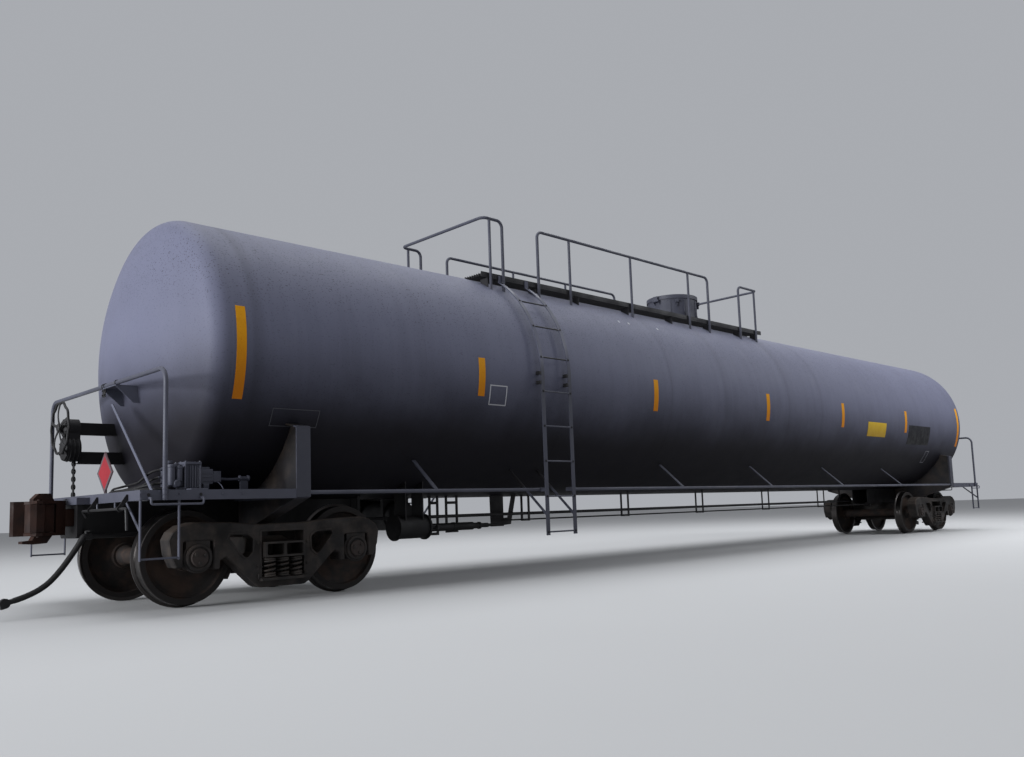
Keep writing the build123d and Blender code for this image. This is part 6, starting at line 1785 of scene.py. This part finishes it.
@dataclass
class DeckPipes:
    """Small air pipes that run from the control valve along the platform and down by the sill."""

    bend: float = 0.055
    # columns: radius of the pipe, then its route as x, y and height over the deck
    routes: tuple[tuple[float, Place, Place, Place, Place, Place], ...] = (
        (0.011, (-9.790, -1.165, 0.196), (-9.860, -1.120, 0.180), (-9.900, -0.930, 0.085),
         (-9.860, -0.200, 0.055), (-9.855, -0.080, -0.010)),
        (0.010, (-9.790, -1.130, 0.128), (-9.840, -1.090, 0.110), (-9.870, -0.960, 0.060),
         (-9.800, -0.260, 0.040), (-9.795, -0.150, -0.010)),
        (0.012, (-9.790, -1.175, 0.072), (-9.870, -1.120, 0.060), (-9.940, -0.900, 0.030),
         (-9.930, -0.330, 0.022), (-9.925, -0.240, -0.010)),
        (0.010, (-9.700, -1.190, 0.030), (-9.780, -1.240, 0.020), (-9.960, -1.060, 0.018),
         (-9.990, -0.620, 0.018), (-9.985, -0.540, -0.010)),
    )

    def build(self) -> None:
        """Make the pipes with easy bends."""
        pipes = [tube(eased(np.asarray(route) + (0, 0, DECK), self.bend), radius, (1.0, 0.2, 0.9), 10)
                 for radius, *route in self.routes]
        make_piece("deck_pipes", joined(pipes), BLACK_STEEL)


@dataclass
class LadderBolts:
    """Bolt heads where the ladders' rungs meet the stringers, and clip angles beside the stringers."""

    stringer_xs: tuple[float, float] = (-5.110, -4.610)
    ladder_radius: float = 1.5885
    first_rung: float = RAIL_TOP + 0.521
    pitch: float = 0.440
    rungs: int = 9
    sink: float = 0.001
    clip_heights: tuple[float, float] = (-0.107, 0.013)
    # lowest and highest corner of a clip, from the stringer's outer face at the tank's axis
    clip: tuple[Place, Place] = ((-0.060, -0.002, -0.022), (-0.028, 0.066, 0.022))

    def heads(self) -> Surface:
        """A head at each rung's end.

        Above the axis a height h along the ladder lies at the turn (h - axis) / radius, where the
        outward direction is (0, -cos t, sin t).

        Returns:
            The near ladder's heads.
        """
        height = self.first_rung + self.pitch * np.arange(self.rungs)
        turn = np.maximum(height - TANK_AXIS, 0.0) / self.ladder_radius
        reach = self.ladder_radius - self.sink
        level = np.minimum(height, TANK_AXIS)
        head, up = bolt_head(0.012, 0.012), spots(0, np.sin(turn), np.cos(turn))
        return joined([stamped(head, spots(x, -reach * np.cos(turn), level + reach * np.sin(turn)), (1, 0, 0), up)
                       for x in self.stringer_xs])

    def clips(self) -> Surface:
        """Short angles that hold each stringer to its lugs.

        Returns:
            The near ladder's clips.
        """
        shape = block(*self.clip)
        return stamped(shape, lattice(self.stringer_xs, [-self.ladder_radius], np.array(self.clip_heights) + TANK_AXIS))

    def build(self) -> None:
        """Make heads and clips on both ladders."""
        make_piece("ladder_bolts_and_clips", on_both_sides(joined([self.heads(), self.clips()])), BLACK_STEEL)


@dataclass
class FrameDetail:
    """Lips round the side frames' windows, rings on the bearings and small lugs by the springs."""

    end: CarEnd
    face_y: float = 1.0955
    half_wheelbase: float = 0.889
    lip_width: float = 0.020
    lip_rise: float = 0.012
    lip_edge: float = 0.004
    ring_y: float = 1.1012
    # the window's corners, x from the truck's middle and height above the rail
    window: tuple[tuple[float, float], ...] = (
        (0.319, 0.615), (0.385, 0.662), (0.579, 0.668), (0.593, 0.618), (0.430, 0.430), (0.387, 0.416), (0.323, 0.480))
    window_bend: float = 0.020
    # the spring opening's half width, lowest and highest point
    opening: Place = (0.245, 0.218, 0.685)
    opening_bend: float = 0.016
    # columns: distance inwards from the ring's face, radius
    rings: tuple[tuple[tuple[float, float], ...], ...] = (
        ((0.004, 0.096), (0.004, 0.124), (-0.006, 0.124), (-0.010, 0.118),
         (-0.010, 0.104), (-0.002, 0.096), (0.004, 0.096)),
        ((0.036, 0.147), (0.022, 0.147), (0.016, 0.140), (0.016, 0.117), (0.036, 0.117)))
    # lowest and highest corner of a lug, from the frame's face at the rail
    lug: tuple[Place, Place] = ((-0.020, -0.012, 0.205), (0.020, 0.004, 0.262))
    lug_x: float = 0.262
    bolt_x: float = 0.275
    bolt_heights: tuple[float, float] = (0.34, 0.56)

    def lip(self, corners: Array, bend: float) -> Surface:
        """A low rim round a closed outline on the frame's outer face, its corners eased as in eased().

        Args:
            corners: The outline's corners, x and height above the rail.
            bend: Distance from a corner at which its curve starts.

        Returns:
            The closed rim.
        """
        around = np.concatenate([corners[-1:], corners, corners[:1]])
        line = eased(around, bend, 5)[1:-1]
        path = spots(line[:, 0], -self.face_y, line[:, 1] + RAIL_TOP)
        ahead = unit(np.roll(path, -1, axis=0) - np.roll(path, 1, axis=0))
        profile = rectangle(self.lip_width, self.lip_rise, self.lip_edge)
        return carried(profile, path, np.cross(ahead, [0.0, 1.0, 0.0]), (0, 1, 0), ring=True)

    def near_side(self) -> Surface:
        """Everything on the side frame at negative Y, about the truck's middle.

        Returns:
            All of it as one surface.
        """
        window = np.asarray(self.window)
        half, low, high = self.opening
        opening = np.array([(-half, low), (half, low), (half, high), (-half, high)])
        parts = [self.lip(window, self.window_bend), self.lip(window * (-1.0, 1.0), self.window_bend),
                 self.lip(opening, self.opening_bend)]
        parts += [lathe(profile, Axis.Y, (x, -self.ring_y, WHEEL_CENTRE), 40, ring=True)
                  for x in (-self.half_wheelbase, self.half_wheelbase) for profile in self.rings]
        lugs = stamped(block(*self.lug, 0.004), spots((-self.lug_x, self.lug_x), -self.face_y, RAIL_TOP))
        places = lattice((-self.bolt_x, self.bolt_x), [-self.face_y], np.array(self.bolt_heights) + RAIL_TOP)
        return joined([*parts, lugs, bolts(places, 0.015, 0.013, Facing.NEAR)])

    def build(self) -> None:
        """Make the detail on both side frames of this truck."""
        both = on_both_sides(self.near_side()).moved((self.end.value * TRUCK_CENTRE, 0, 0))
        make_piece(f"side_frame_detail_{self.end.letter}", both, CAST_STEEL, body=f"truck_{self.end.letter}")


@dataclass
class PlatformDetail:
    """Bolts on the platforms, pipe clamps on the end railings and the clamp of the brace."""

    sill_y: float = 1.5003
    # columns: x and height of a bolt on the side sill
    sill_bolts: tuple[tuple[float, float], ...] = (
        (-10.098, 1.086), (-10.098, 1.035), (-9.757, 1.075), (-9.900, 1.075), (-9.350, 1.070), (-9.150, 1.070))
    railing_x: float = -9.900
    railing_y: float = -1.5213
    railing_top: float = RAIL_TOP + 2.180
    pipe_radius: float = 0.021
    strap_heights: tuple[float, float] = (RAIL_TOP + 1.045, RAIL_TOP + 1.092)
    strap_bar: float = 0.0035
    strap_bolt: tuple[float, float] = (0.040, RAIL_TOP + 1.070)
    ring_ys: tuple[float, ...] = (-0.085, -0.035, -0.380)
    ring_bar: float = 0.005
    # lowest and highest corner of the brace's pad, from the top pipe's middle
    pad: tuple[Place, Place] = ((-0.012, -0.100, -0.110), (-0.004, -0.020, -0.021))
    pad_bolt_drops: tuple[float, float] = (0.045, 0.090)

    def post_clamps(self) -> Surface:
        """Two straps round the railing's post at one corner, with their bolts on the side sill.

        Returns:
            Straps and bolts.
        """
        reach, z = self.strap_bolt
        straps = [hoop((self.railing_x, self.railing_y, height), Axis.Z, self.pipe_radius + 0.002, self.strap_bar)
                  for height in self.strap_heights]
        places = spots((self.railing_x - reach, self.railing_x + reach), -self.sill_y, z)
        return joined([*straps, bolts(places, 0.009, 0.009, Facing.NEAR)])

    def brace_clamp(self) -> Surface:
        """Rings round the top pipe of the railing at the brake end, and the pad and bolts of the brace.

        Returns:
            All of it as one surface.
        """
        rings = [hoop((self.railing_x, y, self.railing_top), Axis.Y, self.pipe_radius + 0.003, self.ring_bar)
                 for y in self.ring_ys]
        pad = block(*self.pad).moved((self.railing_x, 0, self.railing_top))
        heights = self.railing_top - np.array(self.pad_bolt_drops)
        places = lattice([self.railing_x + self.pad[0][0]], self.ring_ys[:2], heights)
        return joined([*rings, pad, bolts(places, 0.009, 0.009, Facing.BRAKE_END)])

    def build(self) -> None:
        """Make bolts and clamps at all corners and the clamp of the brace."""
        x, z = np.asarray(self.sill_bolts).T
        sill = bolts(spots(x, -self.sill_y, z), 0.010, 0.009, Facing.NEAR)
        make_piece("platform_bolts", at_corners(sill), GREY_STEEL)
        make_piece("railing_clamps", at_corners(self.post_clamps()), GREY_STEEL)
        make_piece("brace_clamp", self.brace_clamp(), BLACK_STEEL)


@dataclass
class AirHose:
    """A brake hose that hangs forward from its angle cock to its coupling head."""

    end: CarEnd
    # columns: distance from the middle of the car, height
    route: tuple[tuple[float, float], ...] = ((10.190, 0.665), (10.340, 0.420), (10.550, 0.220), (10.750, 0.170))
    offset: float = 0.300
    radius: float = 0.027
    length: float = 0.76

    def build(self) -> None:
        side = self.end.value
        points = [(side * x, side * self.offset, z) for x, z in self.route]
        curve = bpy.data.curves.new(f"air_hose_line_{self.end.letter}", "CURVE")
        curve.dimensions = "3D"
        curve.bevel_depth = self.radius
        curve.bevel_resolution = 6
        curve.resolution_u = 24
        curve.use_fill_caps = True
        spline = curve.splines.new("NURBS")
        spline.points.add(len(points) - 1)
        for point, place in zip(spline.points, points):
            point.co = (*place, 1.0)
        spline.order_u = 3
        spline.use_endpoint_u = True
        curve.materials.append(HOSE_RUBBER.material())
        hose = bpy.data.objects.new(f"hose_{self.end.letter}", curve)
        bpy.context.scene.collection.objects.link(hose)
        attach(hose, "car_body")
        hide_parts(f"air_hose_{self.end.letter}")
        log.info("hose_%s: %d route points", self.end.letter, len(points))


# Studio


@dataclass
class Camera:
    """The photograph's camera, worked out from the car's known sizes."""

    place: Place = (-13.216, -9.319, 0.8025 + RAIL_TOP)
    yaw: float = 45.711
    pitch: float = 6.331
    roll: float = -1.945
    focal_pixels: float = 896.85
    image_width: float = 1024.0
    image_height: float = 757.0
    centre_v: float = 410.7
    sensor: float = 36.0

    def build(self) -> None:
        """Aim the camera: forward is (cos p cos y, cos p sin y, sin p), then roll about it."""
        yaw, pitch, roll = (radians(a) for a in (self.yaw, self.pitch, self.roll))
        forward = Vector((cos(pitch) * cos(yaw), cos(pitch) * sin(yaw), sin(pitch)))
        right = Vector((sin(yaw), -cos(yaw), 0.0))
        up = right.cross(forward)
        across = cos(roll) * right + sin(roll) * up
        rise = cos(roll) * up - sin(roll) * right
        lens = bpy.data.cameras.new("photo_camera")
        lens.sensor_width = self.sensor
        lens.lens = self.focal_pixels / self.image_width * self.sensor
        lens.shift_y = (self.centre_v - self.image_height / 2) / self.image_width
        lens.clip_end = 500.0
        camera = bpy.data.objects.new("photo_camera", lens)
        turn = Matrix((across, rise, -forward)).transposed().to_4x4()
        camera.matrix_world = Matrix.Translation(self.place) @ turn
        bpy.context.scene.collection.objects.link(camera)
        bpy.context.scene.camera = camera


@dataclass
class Studio:
    """The pale floor, the even surround and the soft lights."""

    floor_half: float = 140.0
    surround: Colour = (0.84, 0.87, 0.93)
    surround_strength: float = 0.47
    lamp_tint: Colour = (0.94, 0.965, 1.0)
    # columns: name, place, point aimed at, width, depth, power
    lights: tuple[tuple[str, Place, Place, float, float, float], ...] = (
        ("overhead", (3.0, 2.0, 18.0), (3.0, 0.0, 2.0), 36.0, 14.0, 4700.0),
        ("brake_end", (-40.0, 1.0, 7.0), (-9.5, 0.0, 2.6), 18.0, 10.0, 16000.0),
        ("far_flank", (9.5, -9.0, 10.0), (12.0, -1.0, 3.0), 9.0, 5.0, 1250.0),
    )

    def build(self) -> None:
        """Make the floor, the surround and the lights."""
        reach = np.array([-self.floor_half, self.floor_half])
        x, y = np.meshgrid(reach, reach)
        sheet = grid(np.stack([x, y, 0 * x], axis=2))
        mesh = bpy.data.meshes.new("floor")
        mesh.from_pydata(sheet.points.tolist(), [], sheet.faces[:, ::-1].tolist())
        mesh.materials.append(PALE_FLOOR.material())
        floor = bpy.data.objects.new("floor", mesh)
        bpy.context.scene.collection.objects.link(floor)
        world = bpy.data.worlds.new("surround")
        world.use_nodes = True
        sky = world.node_tree.nodes["Background"]
        sky.inputs["Color"].default_value = (*self.surround, 1.0)
        sky.inputs["Strength"].default_value = self.surround_strength
        bpy.context.scene.world = world
        for name, place, aim, width, depth, power in self.lights:
            lamp = bpy.data.lights.new(name, "AREA")
            lamp.shape = "RECTANGLE"
            lamp.size, lamp.size_y, lamp.energy = width, depth, power
            lamp.color = self.lamp_tint
            light = bpy.data.objects.new(name, lamp)
            light.location = place
            light.rotation_euler = (Vector(aim) - Vector(place)).to_track_quat("-Z", "Y").to_euler()
            bpy.context.scene.collection.objects.link(light)
        bpy.context.scene.view_settings.view_transform = "Standard"


def main() -> None:
    """Build the camera, the hoses and every sub-assembly in order."""
    logging.basicConfig(level=logging.INFO, format="%(name)s: %(message)s")
    Camera().build()
    for end in CarEnd:
        AirHose(end).build()
    for finish, nodes in NODE_FINISHES:
        for node in nodes.split():
            dress_node(node, finish)
    for end in CarEnd:
        dress_node(f"coupler_{end.letter}", RUSTY_CAST)
        dress_node(f"knuckle_{end.letter}", RUSTY_CAST)
    Tank().build()
    for end in CarEnd:
        Truck(end).build()
    for number, x in enumerate(AXLE_XS, start=1):
        Wheelset(number, x).build()
    for end in CarEnd:
        FrameDetail(end).build()
    RunningBoards().build()
    HousingFittings().build()
    for assembly in (GrabIrons, HandBrake, ControlValve, RodAdjuster, DeckPipes, LadderBolts, PlatformDetail):
        assembly().build()
    Studio().build()


if __name__ == "__main__":
    main()
